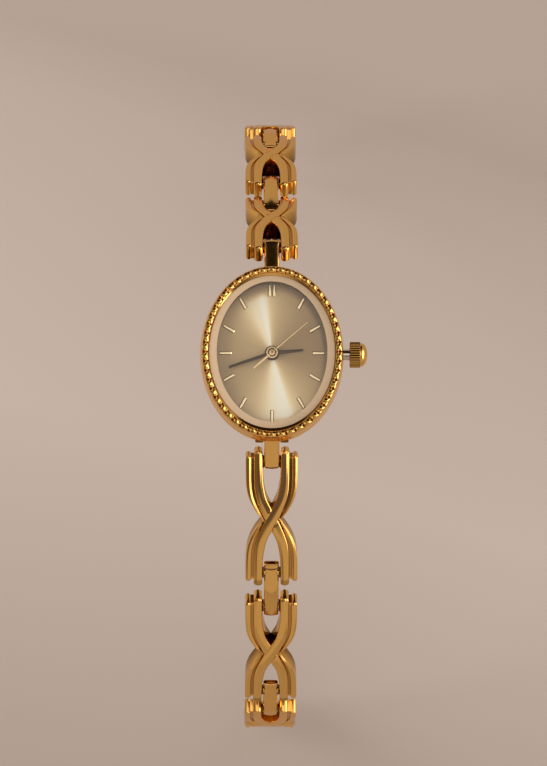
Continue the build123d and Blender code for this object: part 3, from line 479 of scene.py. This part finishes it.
def rib(left, right, top, floor, crown=0.11, corner=0.24, end_round=(0.34, 0.34)):
    """A rib between two edge lines: a crowned top with rounded shoulders on upright walls.

    left and right are (n, 2) edge lines, top is (n,) levels of the crest and floor is the level of
    the underside. The top drops with the square of the way across, quarter circles round its
    shoulders, and the half width shrinks towards each end as a circle of end_round does.
    """
    middle, half = (left + right) / 2, (right - left) / 2
    width = np.hypot(*half.T)
    run = np.concatenate([[0], np.cumsum(np.hypot(*np.diff(middle, axis=0).T))])
    back = np.zeros(len(run))
    for near, radius in ((run, end_round[0]), (run[-1] - run, end_round[1])):
        back += radius - np.sqrt(radius**2 - np.maximum(radius - near, 0) ** 2)
    kept = 1 - back / width
    turn = np.linspace(0, np.pi / 2, 6)
    bend = np.minimum(corner, 0.7 * width * kept)[:, None]
    inset = bend * (1 - np.cos(turn))[None, :]
    drop = bend * (1 - np.sin(turn))[None, :] + crown
    shoulder = kept[:, None] - inset / width[:, None]
    flat = np.array([-0.66, -0.33, 0.0, 0.33, 0.66])
    inner = shoulder[:, -1:] * flat[None, :]
    foot = np.stack([kept, kept - 0.12 / width, 0.12 / width - kept, -kept], 1)
    u = np.concatenate([-shoulder, inner, shoulder[:, ::-1], foot], 1)
    level = np.repeat(crown * flat[None, :] ** 2, len(run), 0)
    fall = np.concatenate([drop, level, drop[:, ::-1]], 1)
    crest = (top - 0.3 * back)[:, None] - fall
    under = np.repeat(np.array([[0.12, 0.0, 0.0, 0.12]]) + floor, len(run), 0)
    points = middle[:, None, :] + half[:, None, :] * u[..., None]
    return np.concatenate([points, np.concatenate([crest, under], 1)[..., None]], -1)


def bowed(points):
    """Bends heights above the middle sheet over the link's long arc; the underside stays flat.

    A height h lies on the circle about the arc's centre with the arc's radius plus h.
    """
    x, y, h = np.moveaxis(points, -1, 0)
    centre = -np.sqrt(LINK_BOW**2 - LINK_REACH**2)
    z = centre + np.sqrt((LINK_BOW + h) ** 2 - y**2)
    half = LINK_THICK / 2
    flat = centre + np.sqrt((LINK_BOW - half) ** 2 - INNER_END**2)
    return np.stack([x, y + LINK_REACH, np.where(h < 0.2 - half, flat + h + half, z)], -1)


def dense_ends(line, count=8, reach=0.36):
    """Adds samples close to both ends of an edge line, for their rounding."""
    run = np.concatenate([[0], np.cumsum(np.hypot(*np.diff(line, axis=0).T))])
    extra = reach * (1 - np.cos(np.linspace(0, np.pi / 2, count)))
    middle = run[(run > reach) & (run < run[-1] - reach)]
    at = np.unique(np.concatenate([extra, middle, run[-1] - extra]))
    return np.stack([np.interp(at, run, line[:, a]) for a in (0, 1)], -1)


def link_ribs():
    """One crossed link: an S-shaped rib over its mirror image, outer ribs, webs and knuckles.

    All edges are smoothed runs through (x, y) corners. The under rib dips where it comes close to
    the over rib's centre line. The webs are the floors of the grooves beside the outer ribs.
    """
    half = LINK_THICK / 2

    def finished(points, flipped, tall=0.55):
        """Bends a rib and paints shade on its walls below the shoulders, away from the link's ends, and
        on its outer end.
        """
        wall = np.clip((half - 0.3 - points[..., 2]) / tall, 0, 1)
        shade = wall * (1 - step(np.abs(points[..., 1]), 8.6, 9.2))
        # Painted shade on the rib's outer end.
        shade = np.maximum(shade, 0.45 * step(points[..., 1], 9.05, 9.4))
        skin, faces = tube(bowed(points), flipped)
        return skin, faces, np.concatenate([shade.ravel(), [shade[0].mean(), shade[-1].mean()]])

    edge = [(1.29, INNER_END), (1.29, 8), (1.2, 5.8), (1.05, 4.7), (0.8, 3.4), (0.55, 2.75)]
    edge += [(0, 1.7), (-0.55, 0.62), (-1.15, -0.45), (-1.5, -1.3), (-1.95, -2.4), (-2.28, -3.5)]
    edge += [(-2.44, -4.6), (-2.495, -6.0), (-2.495, -INNER_END)]
    left = dense_ends(smooth_run(edge, 110, 0.9), 11, 0.6)
    right = -left[::-1]
    crest = np.full(len(left), half)
    blunt = (0.34, 0.46)
    parts = [finished(rib(left, right, crest, -half, end_round=blunt), True)]
    flip = np.array([-1.0, 1.0])
    under = rib(left * flip, right * flip, crest - 0.02, -half + 0.02, end_round=blunt)
    spine = (left + right) / 2
    away = np.min(np.linalg.norm(under[:, :, None, :2] - spine[None, None], axis=-1), -1)
    dip_depth, dip_start, dip_end = 0.5, 0.68, 0.42
    dip = dip_depth * (1 - step(away, dip_end, dip_start))
    under[..., 2] -= np.where(under[..., 2] > 0, dip, 0)
    parts.append(finished(under, False))

    groove = [(0.9, -0.2), (1.2, 0.25), (1.72, 1.3), (2.2, 2.4), (2.56, 3.4), (2.78, 4.6)]
    groove += [(2.865, 6.0), (2.865, OUTER_END)]
    outline = [(1.34, -0.35), (1.34, 0.1), (2.28, 1.35), (3.02, 2.7), (3.44, 3.95), (3.62, 5.2)]
    outline += [(3.675, 7.0), (3.675, OUTER_END)]
    inner = [(0.8, -0.1), (1.0, 0.35), (1.35, 1.2), (1.8, 2.4), (2.1, 3.5), (2.3, 4.8), (2.3, 9.2)]
    outer = [(1.25, -0.1), (1.5, 0.35), (1.95, 1.2), (2.5, 2.4), (2.9, 3.5), (3.1, 4.8), (3.1, 9.2)]
    groove, outline = (dense_ends(smooth_run(run, 72, 0.8)) for run in (groove, outline))
    inner, outer = (smooth_run(run, 56, 0.8) for run in (inner, outer))
    count = min(len(groove), len(outline))
    groove, outline = groove[-count:], outline[-count:]
    rib_top = half - 0.09 - 0.25 * (1 - step(outline[:, 1], 0.0, 1.2))
    web_top = half - 0.5 - 0.25 * (1 - step(inner[:, 1], 0.3, 1.6))
    for sx in (1, -1):
        for sy in (1, -1):
            turn, flipped = np.array([sx, sy]), sx * sy < 0
            ends = (0.02, 0.3 if sy > 0 else 0.34)
            lines = groove * turn, outline * turn
            points = rib(*lines, rib_top, -half + 0.02, crown=0.07, corner=0.2, end_round=ends)
            parts.append(finished(points, flipped))
            lines = inner * turn, outer * turn
            ends = (0.02, 0.02)
            web = rib(*lines, web_top, -half + 0.1, crown=0.02, corner=0.05, end_round=ends)
            parts.append(finished(web, flipped, 0.4))

    knuckle_x, knuckle_reach, knuckle_radius = 1.19, 0.85, 0.72
    thin = np.full(9, 0.12)
    lift = knuckle_radius * np.sqrt(1 - np.linspace(-0.98, 0.98, 9) ** 2)
    for sx in (1, -1):
        for sy in (1, -1):
            y = sy * LINK_REACH + np.linspace(-knuckle_reach, knuckle_reach, 9)
            knuckle = bar(y, thin, lift, -lift, 0.03, 0.0) + (sx * knuckle_x, 0, 0)
            skin, faces = tube(bowed(knuckle), False)
            # The knuckles are painted fully dark: painted shade for the shaded gap beside the
            # connectors.
            parts.append((skin, faces, np.ones(len(skin))))
    return parts


def bar(y, half, top, bottom, corner=0.3, crown=0.05):
    """A bar along y, rounded box in section; half, top and bottom have a value for each y.

    Quarter circles round the corners, and the top drops with the square of the way from its middle.
    """
    turn = np.linspace(0, np.pi / 2, 6)
    bend = np.minimum(np.minimum(corner, 0.6 * half), 0.45 * (top - bottom))[:, None]
    inset, drop = bend * (1 - np.cos(turn)), bend * (1 - np.sin(turn)) + crown
    flat = np.array([-0.6, -0.3, 0.0, 0.3, 0.6])
    wall, middle = half[:, None] - inset, (half[:, None] - bend) * flat
    x = np.concatenate([-wall, middle, wall[:, ::-1], wall, -wall[:, ::-1]], 1)
    rise = bottom[:, None] + bend * (1 - np.sin(turn))
    level = np.repeat(crown * flat[None, :] ** 2, len(y), 0)
    high = top[:, None]
    z = np.concatenate([high - drop, high - level, high - drop[:, ::-1], rise, rise[:, ::-1]], 1)
    return np.stack([x, np.repeat(y[:, None], x.shape[1], 1), z], -1)


def rounded_end(far, radius):
    """How far a quarter circle of that radius has turned in at a distance from the end."""
    return radius - np.sqrt(np.maximum(radius**2 - np.maximum(radius - far, 0) ** 2, 0))


def end_samples(start, end, reach, count=9):
    """Places along a bar, closer together within reach of both ends."""
    near = reach * (1 - np.cos(np.linspace(0, np.pi / 2, count)))
    middle = np.linspace(start + reach, end - reach, 26)
    return np.unique(np.concatenate([start + near, middle, end - near]))


def middle_bar(pitch):
    """A connector: a strip with an arched top and a tongue in the mouth of its inner end.

    The top drops with the square of the distance from its middle, and the ends turn in as circles.
    """
    start, end = -MIDDLE_PAST[0], pitch + MIDDLE_PAST[1]
    y = end_samples(start, end, 0.7)
    centre, reach = (start + end) / 2, (end - start) / 2
    half = MIDDLE_HALF - rounded_end(y - start, 0.12) - rounded_end(end - y, 0.3)
    arch = BAR_ARCH * ((y - centre) / reach) ** 2
    top = BAR_HALF - arch - rounded_end(y - start, 0.16) - rounded_end(end - y, 0.35)
    bottom = -BAR_HALF + rounded_end(y - start, 0.2) + rounded_end(end - y, 0.35)
    rings = bar(y, half, top, bottom, 0.3, 0.13)
    face = rings[0]
    hub = face.mean(0)
    mouth_depth = 0.55
    rim = hub + (face - hub) * np.array([0.66, 1.0, 0.6])
    mouth = [rim + np.array([0, mouth_depth, 0]), rim]
    tongue_y = np.array([start + 0.1, start + 0.16, start + 0.7])
    tongue_half = np.array([0.36, 0.42, 0.42])
    tongue = bar(tongue_y, tongue_half, np.full(3, 0.12), np.full(3, -0.28), 0.08, 0.0)
    return [tube(np.concatenate([mouth, rings]), False), tube(tongue, False)]


def end_bar(pitch):
    """The strip between the case and the first crossed link, rounded off at both ends."""
    start, end = -END_PAST[0], pitch + END_PAST[1]
    y = end_samples(start, end, 0.85, 12)
    half = END_HALF - rounded_end(y - start, 0.1) - rounded_end(end - y, 0.7)
    near, far = rounded_end(y - start, 0.78), rounded_end(end - y, 0.84)
    top = BAR_HALF - near - far * step(y, end - 2.9, end - 0.8)
    bottom = -BAR_HALF + near + far
    return [tube(bar(y, half, np.maximum(top, bottom + 0.04), bottom, 0.28, 0.08), False)]


ribs = link_ribs()
middle_parts, end_parts = middle_bar(PITCHES[2]), end_bar(PITCHES[0])
for side, way in (("lower", -1), ("upper", 1)):
    at, tilts = pins(side), TILTS[side]
    # Each row: piece, its parts, its body, the node it replaces, and the pin it starts from.
    rows = [("end_bar", end_parts, "end", "end_connector", 0)]
    for n in (1, 2, 3):
        rows.append((f"crossed_ribs_{n}", ribs, f"cross_{n}", f"cross_link_{n}", 2 * n - 1))
    for n in (1, 2):
        rows.append((f"bar_{n}", middle_parts, f"middle_{n}", f"connector_{n}", 2 * n))
    for name, parts, body, replaced, k in rows:
        moved = [(placed(points, way, at[k], tilts[k]), *rest) for points, *rest in parts]
        body, replaced = f"{side}_{body}", [f"{side}_{replaced}"]
        build(f"{side}_{name}", moved, gold, body, replaced)


# Head: bezel with its bead ring


def ellipse_rings(rows, turn):
    """Rings round the head: rows is (half x, half y, z) for each point of a closed profile."""
    rows = np.asarray(rows, float)
    x = np.cos(turn)[:, None] * rows[None, :, 0]
    y = np.sin(turn)[:, None] * rows[None, :, 1]
    return np.stack([x, y, np.repeat(rows[None, :, 2], len(turn), 0)], -1)


def even_turns(half, count):
    """Angles of an ellipse at equal steps of length round it."""
    fine = np.linspace(0, 2 * np.pi, 20001)
    steps = np.hypot(np.diff(half[0] * np.cos(fine)), np.diff(half[1] * np.sin(fine)))
    run = np.concatenate([[0], np.cumsum(steps)])
    return np.interp(np.linspace(0, run[-1], count, endpoint=False), run, fine)


def bezel_skin():
    """Wall, half-round ring and sloping lip, as a profile of ovals carried round the head.

    The ring rises as the sine across it, to the power 0.8. Each of its units has a round pit on its
    outer half and a smaller one beside it on its inner half, as deep as one minus the square of the
    distance from the pit's middle, to the power 0.7. Between one unit's pits and the next a bell
    curve swells, slanting, across the ring.
    """
    count = BEAD_COUNT * BEAD_STEPS
    turn = even_turns(RING, count)
    bow = np.linspace(0, np.pi, 27)
    across = np.cos(bow)
    # The wall below the ring, as (inset from the case's oval, height).
    walls = [(0.12, BAND_TOP), (0.125, 4.7), (0.14, 5.0), (0.17, 5.3), (0.2, 5.48), (0.235, 5.6)]
    rows = [(*(CASE - e), z) for e, z in walls]
    arc = RING_FOOT + (RING_CREST - RING_FOOT) * np.sin(bow) ** 0.8
    rows += [(*(RING + RING_HALF * c), z) for c, z in zip(across, arc)]
    lip_reach, lip_foot, lip_rise = np.array([0.035, 0.38]), 5.54, 0.1
    for t in (1.0, 0.94, 0.66, 0.33, 0.06, 0.0):
        rows.append((*(OPENING + lip_reach * t), lip_foot + lip_rise * t))
    rows += [(*OPENING, GLASS_FOOT), (*OPENING, BAND_TOP)]
    rings = ellipse_rings(rows, turn)

    c, p = across[None, :], np.arange(count)[:, None] / BEAD_STEPS
    cut = np.zeros((count, len(across)))
    along = (p - np.round(p)) * BEAD_PITCH
    # Each pit: its place across the ring, 1 at the outer edge, its depth and its radius.
    for place, deep, radius in ((0.36, 0.32, 0.2), (-0.6, 0.26, 0.15)):
        far = ((c - place) * RING_HALF / radius) ** 2 + (along / radius) ** 2
        cut += deep * np.maximum(1 - far, 0) ** 0.7
    between_pits = p - 0.5 - np.round(p - 0.5)
    facet_rise, facet_slant, facet_length = 0.13, 0.2, 0.16
    bell = np.exp(-(((between_pits - facet_slant * c) / facet_length) ** 2))
    swell = facet_rise * bell * (1 - c**2)
    ring = slice(len(walls), len(walls) + len(across))
    rings[:, ring, 2] += (swell - cut) * (1 - np.abs(c) ** 8)
    # Painted shade in the pits: the deeper the cut, the darker the colour.
    shade = np.zeros(rings.shape[:2])
    shade[:, ring] = 0.9 * np.clip((cut - 0.08) / 0.16, 0, 1)
    return (*torus(rings, True), shade.ravel())


build("beaded_bezel", [bezel_skin()], gold, "case", ["bezel"])


# Head: case band, pockets, ears


def band_skin():
    """A swelling oval wall: the inset from the widest line follows a cubic of height.

    Near 12 and 6 a line keeps its x at all heights, so that the two pockets have upright side walls,
    and its y follows the oval of each height.
    """
    heights, insets = [BAND_FOOT, 1.5, 3.2, BAND_TOP], [1.05, 0.35, 0.0, 0.12]
    half, back, top = POCKET
    # Rows and lines a hair apart make the pockets' roofs and side walls sharp steps.
    hair = 0.001
    z = [np.linspace(BAND_FOOT, top, 22), [top + hair], np.linspace(3.5, BAND_TOP, 8)]
    z = np.concatenate(z)
    inset = np.polyval(np.polyfit(heights, insets, 3), z)
    foot_chamfer = 0.06
    inset[0] += foot_chamfer
    turn = np.linspace(0, 2 * np.pi, 360, endpoint=False)
    # The half width that the upright lines take their x from.
    straight = 10.0
    edges = []
    for x in (half - hair, half + hair):
        a = np.arccos(x / straight)
        edges += [a, np.pi - a, -a, -np.pi + a]
    turn = np.unique(np.round(np.concatenate([turn, np.array(edges) % (2 * np.pi)]), 6))
    rows = [(*(CASE - e), h) for e, h in zip(inset, z)]
    rows += [(*(BORE + 0.2), BAND_TOP), (*BORE, BAND_TOP), (*BORE, BAND_FOOT)]
    half_x, half_y, level = np.array(rows).T
    upright = 1 - step(np.abs(straight * np.cos(turn)), 1.5, 5.0)[:, None]
    x = np.cos(turn)[:, None] * (straight * upright + half_x * (1 - upright))
    y = np.sign(np.sin(turn))[:, None] * half_y * np.sqrt(np.maximum(1 - (x / half_x) ** 2, 0))
    pocket = (np.abs(x) < half) & (level < top + hair / 2)
    y = np.where(pocket, np.clip(y, -back, back), y)
    return torus(np.stack([x, y, np.repeat(level[None, :], len(turn), 0)], -1), True)


def ear(side, way):
    """One ear of the case: a thick disc round the spring bar, its edges rounded off as circles."""
    turn = np.linspace(0, 2 * np.pi, 48, endpoint=False)
    inner, outer, radius = EAR
    xs = inner + (outer - inner) * (1 - np.cos(np.linspace(0, np.pi, 15))) / 2
    near = np.minimum(xs - inner, outer - xs)
    reach = radius - rounded_end(near, 0.16)
    y, z = reach[:, None] * np.cos(turn), reach[:, None] * np.sin(turn)
    x = np.repeat(side * xs[:, None], len(turn), 1)
    rings = np.stack([x, way * LUG_PIN[0] + y, LUG_PIN[1] + z], -1)
    return tube(rings, side < 0)


ears = [ear(side, way) for side in (-1, 1) for way in (-1, 1)]
# The ears are painted darker: painted shade, for the dark that they mirror.
ears = [(points, faces, np.full(len(points), 0.8)) for points, faces in ears]
build("case_wall", [band_skin(), *ears], gold, "case", ["case_band"])


# Crown: knurled wall and domed end


def crown_skin():
    """A turned crown whose wall radius dips between its flutes, with a dome at its end.

    A flute's depth is its full depth times one minus the size of the sine of half the flutes times
    the angle, to the power 0.7. It runs out at both rims of the wall. The dome is a quarter of an
    oval, filled out a little.
    """
    r, wall, dome = CROWN_RADIUS, CROWN_LENGTH, CROWN_DOME
    profile = [(0.47, 1.05), (1.0, 1.05), (1.0, 0.0), (1.6, 0.0), (r - 0.1, 0.03)]
    profile += [(r, h) for h in np.linspace(0.1, wall - 0.1, 12)]
    profile += [(r - 0.05, wall - 0.03), (r - 0.12, wall), (1.68, wall + 0.01)]
    for a in np.linspace(0, np.pi / 2, 16)[:-1]:
        profile += [(1.67 * np.cos(a) ** 0.8, wall + 0.02 + (dome - 0.03) * np.sin(a))]
    profile += [(0.02, wall + dome - 0.01)]

    def flutes(radius, turn, height):
        """The wall's radius with the flutes taken off it."""
        wave = np.abs(np.sin(FLUTES / 2 * turn)) ** 0.7
        gate = np.clip(np.minimum(height, wall - height) / 0.08, 0, 1)
        return radius - FLUTE_DEPTH * (1 - wave) * np.where(radius > r - 0.15, gate, 0)

    def sideways(a, b, c):
        """Lays the crown's axis along x, at 3 o'clock."""
        return np.stack([c + CROWN_START, a, b + CROWN_Z], -1)

    rings = lathe(profile, 384, sideways, flutes)
    radius = np.hypot(rings[..., 1], rings[..., 2] - CROWN_Z)
    # Painted shade on the whole fluted wall, darkest at the flutes' bottoms.
    on_wall = (rings[..., 0] - CROWN_START < wall - 0.02) & (radius > 1.62)
    deep = np.where(on_wall, np.clip(0.3 + (r - radius) / 0.16, 0, 1), 0)
    return (*tube(rings, True), np.concatenate([deep.ravel(), [0, 0]]))


build("knurled_crown", [crown_skin()], gold, "crown", ["crown"])

# Glass: pane and ground bevel

turn = even_turns(GLASS, 240)
pane_rows = [(0.02, 0.02, GLASS_FOOT), (*PANE, GLASS_FOOT), (*PANE, GLASS_TOP - 0.02)]
pane_rows += [(*(PANE - 0.02), GLASS_TOP), (0.02, 0.02, GLASS_TOP)]
pane = ellipse_rings(pane_rows, turn).transpose(1, 0, 2)
build("clear_pane", [tube(pane, True)], glass, "case", ["crystal"])
bevel_rows = []
for t in np.linspace(0, 1, 7):
    level = GLASS_TOP + (GLASS_EDGE - GLASS_TOP) * t**1.25
    bevel_rows.append((*(PANE + (GLASS - PANE) * t), level))
bevel_rows += [(*GLASS, GLASS_FOOT), (*(PANE + 0.005), GLASS_FOOT)]
bevel = torus(ellipse_rings(bevel_rows, turn), False)
build("ground_bevel", [bevel], ground_glass, "case", ["crystal"])


# Hour markers


def baton(turn, offset, widths):
    """A flat-topped marker with sloping flanks, wider at its inner end and lower at both ends.

    Its outer end lies on the markers' oval: one over the root of the squares of sine over half the
    oval's width and cosine over half its height.
    """
    edge = 1 / np.hypot(np.sin(turn) / MARKER_EDGE[0], np.cos(turn) / MARKER_EDGE[1])
    outer, inner = widths
    rows = []
    # Each section: its place as a share of the length, its width, and the rise of its flanks.
    sections = ((0.0, outer, 0.04), (0.05, outer, 0.1), (0.95, inner, 0.1), (1.0, inner, 0.04))
    for share, width, rise in sections:
        radius, w = edge - MARKER_LENGTH * share, width / 2
        across = np.array([-w, -w, 0.1 - w, 0.12 - w, w - 0.12, w - 0.1, w, w]) + offset
        flank = np.array([0.0, 0.04, 0.03 + rise, 0.04 + rise])
        height = np.concatenate([flank, flank[::-1]]) + DIAL_TOP
        x = radius * np.sin(turn) + across * np.cos(turn)
        y = radius * np.cos(turn) - across * np.sin(turn)
        rows.append(np.stack([x, y, height], -1))
    skin, faces = tube(np.array(rows), True)
    # Painted shade on the flanks, darkest at their foot, and half shade on the end caps.
    shade = np.tile([1.0, 0.8, 0.55, 0.0, 0.0, 0.55, 0.8, 1.0], len(rows))
    return skin, faces, np.concatenate([shade, [0.5, 0.5]])


batons = [baton(0.0, side * TWELVE_OFFSET, TWELVE_WIDTHS) for side in (-1, 1)]
batons += [baton(np.radians(30.0 * hour), 0.0, MARKER_WIDTHS) for hour in range(1, 12)]
build("baton_markers", batons, trim, "case", ["hour_markers"], crease=15)


# Hands


def blade(level, turn, length, width, tip, ridge, thick=0.08, start=0.3, count=14):
    """A hand with a ridge along its middle, from start to length, turned clockwise from 12.

    Its half width runs evenly from width to tip, with one seven-cornered section all along.
    """
    along = np.linspace(start, length, count)
    half = np.interp(along, [start, length], [width / 2, tip / 2])
    across = np.array([-1.0, -0.85, 0.0, 0.85, 1.0, 0.9, -0.9])
    lift = np.array([thick, thick + 0.01, thick + ridge, thick + 0.01, thick, 0.0, 0.0])
    x = half[:, None] * across[None, :]
    y = np.repeat(along[:, None], len(across), 1)
    z = np.repeat(lift[None, :], count, 0) + level
    a = np.radians(turn)
    return tube(np.stack([x * np.cos(a) + y * np.sin(a), -x * np.sin(a) + y * np.cos(a), z], -1))


def disc(level, rows, dark=()):
    """A turned disc from a profile of (radius, rise); dark lists the rows that lie in a groove, which
    get painted shade.
    """
    shade = np.repeat([float(n in dark) for n in range(len(rows))], 96)
    shade = np.concatenate([shade, [0, float(len(rows) - 1 in dark)]])
    return (*tube(lathe([(radius, level + rise) for radius, rise in rows], 96), True), shade)


hour = blade(HOUR_LEVEL, 84.3, length=4.4, width=0.66, tip=0.26, ridge=0.04)
hub = disc(HOUR_LEVEL, [(0.02, 0), (1.03, 0), (1.05, 0.06), (1.0, 0.12), (0.02, 0.12)])
build("hour_pointer", [hour, hub], hand_gold, "hours", ["hour_hand"], crease=20)

minute = blade(MINUTE_LEVEL, 251.3, length=6.4, width=0.5, tip=0.36, ridge=0.03)
hub = disc(MINUTE_LEVEL, [(0.02, 0), (0.7, 0), (0.7, 0.08), (0.64, 0.11), (0.02, 0.11)])
parts = [minute, hub]
build("minute_pointer", parts, hand_gold, "minutes", ["minute_hand"], crease=20)

second, slim = 49.3, {"thick": 0.06, "start": 0.5}
needle = blade(SECOND_LEVEL, second, length=6.6, width=0.15, tip=0.1, ridge=0.004, **slim)
tail = blade(SECOND_LEVEL, second + 180, length=3.4, width=0.34, tip=0.24, ridge=0.01, **slim)
rim = [(0.02, 0), (0.82, 0), (0.82, 0.08), (0.78, 0.13), (0.64, 0.14), (0.6, 0.02)]
rim += [(0.5, 0.02), (0.44, 0.16), (0.4, 0.23), (0.2, 0.25), (0.16, 0.13), (0.02, 0.13)]
# Painted shade in the groove and the hollow middle of the second hand's hub.
parts = [needle, tail, disc(SECOND_LEVEL, rim, dark=(5, 6, 10, 11))]
build("second_pointer", parts, needle_gold, "seconds", ["second_hand"], crease=20)

# Room: card under the watch

low = min(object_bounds()[0].z, cad_low.z)
reach, card_gap = 3.0, 0.004
z = low - card_gap
corners = [(-reach, -reach, z), (reach, -reach, z), (reach, reach, z), (-reach, reach, z)]
floor_mesh = bpy.data.meshes.new("floor")
floor_mesh.from_pydata(corners, [], [(0, 1, 2, 3)])
floor = bpy.data.objects.new("floor", floor_mesh)
bpy.context.scene.collection.objects.link(floor)
# Matt beige card with painted light: brightest across the middle in bands that fall a little to the
# right.
material, tree, shader = blank("matt_beige_card_painted_light")
coords = node(tree, "ShaderNodeTexCoord").outputs["Object"]
split = node(tree, "ShaderNodeSeparateXYZ", {"Vector": coords})
lean = maths(tree, "MULTIPLY_ADD", split.outputs["X"], 0.3, split.outputs["Y"])
down = node(tree, "ShaderNodeMapRange", {"Value": lean})
down.inputs["From Min"].default_value = -0.07
down.inputs["From Max"].default_value = 0.06
stops = ((0.0, "#AE9D91"), (0.13, "#B5A498"), (0.3, "#BFAEA2"), (0.49, "#C9B8AC"))
stops += ((0.68, "#C4B3A7"), (0.85, "#BEADA1"), (0.93, "#B5A498"), (1.0, "#B8A79B"))
shade = ramp(tree, down.outputs["Result"], stops)
tree.links.new(shade, shader.inputs["Base Color"])
shader.inputs["Roughness"].default_value = 0.9
shader.inputs["Specular IOR Level"].default_value = 0.1
floor_mesh.materials.append(material)

# Room: what lights and mirrors

world = bpy.data.worlds.new("studio")
world.use_nodes = True
tree = world.node_tree
tree.nodes.clear()
sums = partial(maths, tree)
coords = node(tree, "ShaderNodeTexCoord").outputs["Generated"]
split = node(tree, "ShaderNodeSeparateXYZ", {"Vector": coords})
x, y = split.outputs["X"], split.outputs["Y"]
DEGREE = np.pi / 180


def between(value, start, end, soft):
    """A soft-edged window: 1 while an angle lies between start and end degrees."""
    out = None
    for edge, sign in ((start, 1), (end, -1)):
        fade = node(tree, "ShaderNodeMapRange", {"Value": value}, interpolation_type="SMOOTHSTEP")
        fade.inputs["From Min"].default_value = (edge - sign * soft / 2) * DEGREE
        fade.inputs["From Max"].default_value = (edge + sign * soft / 2) * DEGREE
        out = fade.outputs["Result"] if out is None else sums("MULTIPLY", out, fade.outputs["Result"])
    return out


height = sums("ARCSINE", split.outputs["Z"])
from_up = sums("ARCTAN2", x, y)
from_down = sums("ARCTAN2", x, sums("MULTIPLY", y, -1.0))
from_side = sums("ARCTAN2", y, x)
from_left = sums("ARCTAN2", y, sums("MULTIPLY", x, -1.0))
# What polished metal sees of the room. Each row: the angle round, the window it lies in, the
# window of heights, in degrees, the windows' softness, the colour and its strength.
ROOM = (
    (from_left, -60, 60, 10, 50, 14, "#A38A72", 0.45),
    (from_down, -60, 60, 43, 66, 12, "#8F7F86", 0.4),
    (from_side, -35, 30, 8, 46, 8, "#FFF0DC", 3.4),
    (from_up, -32, 32, -2, 66, 7, "#20140C", 0.8),
    (from_up, -200, 200, 74, 100, 10, "#FFEFDC", 1.1),
)
seen = node(tree, "ShaderNodeRGB")
seen.outputs[0].default_value = dimmed(linear("#D2BDAA"), 0.8)
colour = seen.outputs[0]
for angle, start, end, foot, top, soft, code, strength in ROOM:
    window = sums("MULTIPLY", between(angle, start, end, soft), between(height, foot, top, soft))
    mixed = node(tree, "ShaderNodeMix", {"Factor": window, 6: colour}, data_type="RGBA")
    mixed.inputs[7].default_value = dimmed(linear(code), strength)
    colour = mixed.outputs[2]
rays = node(tree, "ShaderNodeLightPath")
shine = node(tree, "ShaderNodeBackground", {"Color": colour}, Strength=1.0)
fill = node(tree, "ShaderNodeBackground", Color=linear("#FFFCFA"), Strength=0.72)
pale = node(tree, "ShaderNodeBackground", Color=linear("#C8B5A4"), Strength=1.0)
links = {0: rays.outputs["Is Glossy Ray"], 1: fill.outputs[0], 2: shine.outputs[0]}
both = node(tree, "ShaderNodeMixShader", links)
either = sums("MAXIMUM", rays.outputs["Is Camera Ray"], rays.outputs["Is Transmission Ray"])
final = node(tree, "ShaderNodeMixShader", {0: either, 1: both.outputs[0], 2: pale.outputs[0]})
node(tree, "ShaderNodeOutputWorld", {"Surface": final.outputs[0]})
bpy.context.scene.world = world


def lamp(name, place, aim, size, power):
    """A square area lamp, size in metres and power in watts, neither seen itself nor mirrored."""
    data = bpy.data.lights.new(name, "AREA")
    data.shape = "RECTANGLE"
    data.size, data.size_y = size, size
    data.energy = power
    data.color = linear("#FFFBF6")[:3]
    light = bpy.data.objects.new(name, data)
    light.location = place
    light.rotation_euler = (Vector(aim) - Vector(place)).to_track_quat("-Z", "Y").to_euler()
    light.visible_camera = False
    light.visible_glossy = False
    bpy.context.scene.collection.objects.link(light)


lamp("window_left", place=(-1.1, 0.1, 0.75), aim=(0, 0, 0), size=0.9, power=9.4)

# Camera

# Almost straight above: the direction back to the camera and the point it looks at, fitted to
# the photo, like the scale in pixels per metre for a picture that many pixels high.
BACK = Vector((-0.007, -0.154, 1.0)).normalized()
AIM = Vector((0.206, -4.311, 4.839)) * MM
DISTANCE, SENSOR = 1.3, 24.0
PIXELS_PER_METRE, PICTURE_HEIGHT = 7130.0, 766.0
camera_data = bpy.data.cameras.new("camera")
camera = bpy.data.objects.new("camera", camera_data)
bpy.context.scene.collection.objects.link(camera)
camera.location = AIM + BACK * DISTANCE
side_axis = Vector((0, 1, 0)).cross(BACK).normalized()
up_axis = BACK.cross(side_axis)
camera.rotation_euler = Matrix((side_axis, up_axis, BACK)).transposed().to_euler()
camera_data.sensor_fit = "VERTICAL"
camera_data.sensor_height = camera_data.sensor_width = SENSOR
camera_data.lens = SENSOR * PIXELS_PER_METRE * DISTANCE / PICTURE_HEIGHT
camera_data.clip_start, camera_data.clip_end = 0.01, 20.0
bpy.context.scene.camera = camera
bpy.context.scene.view_settings.view_transform = "Standard"
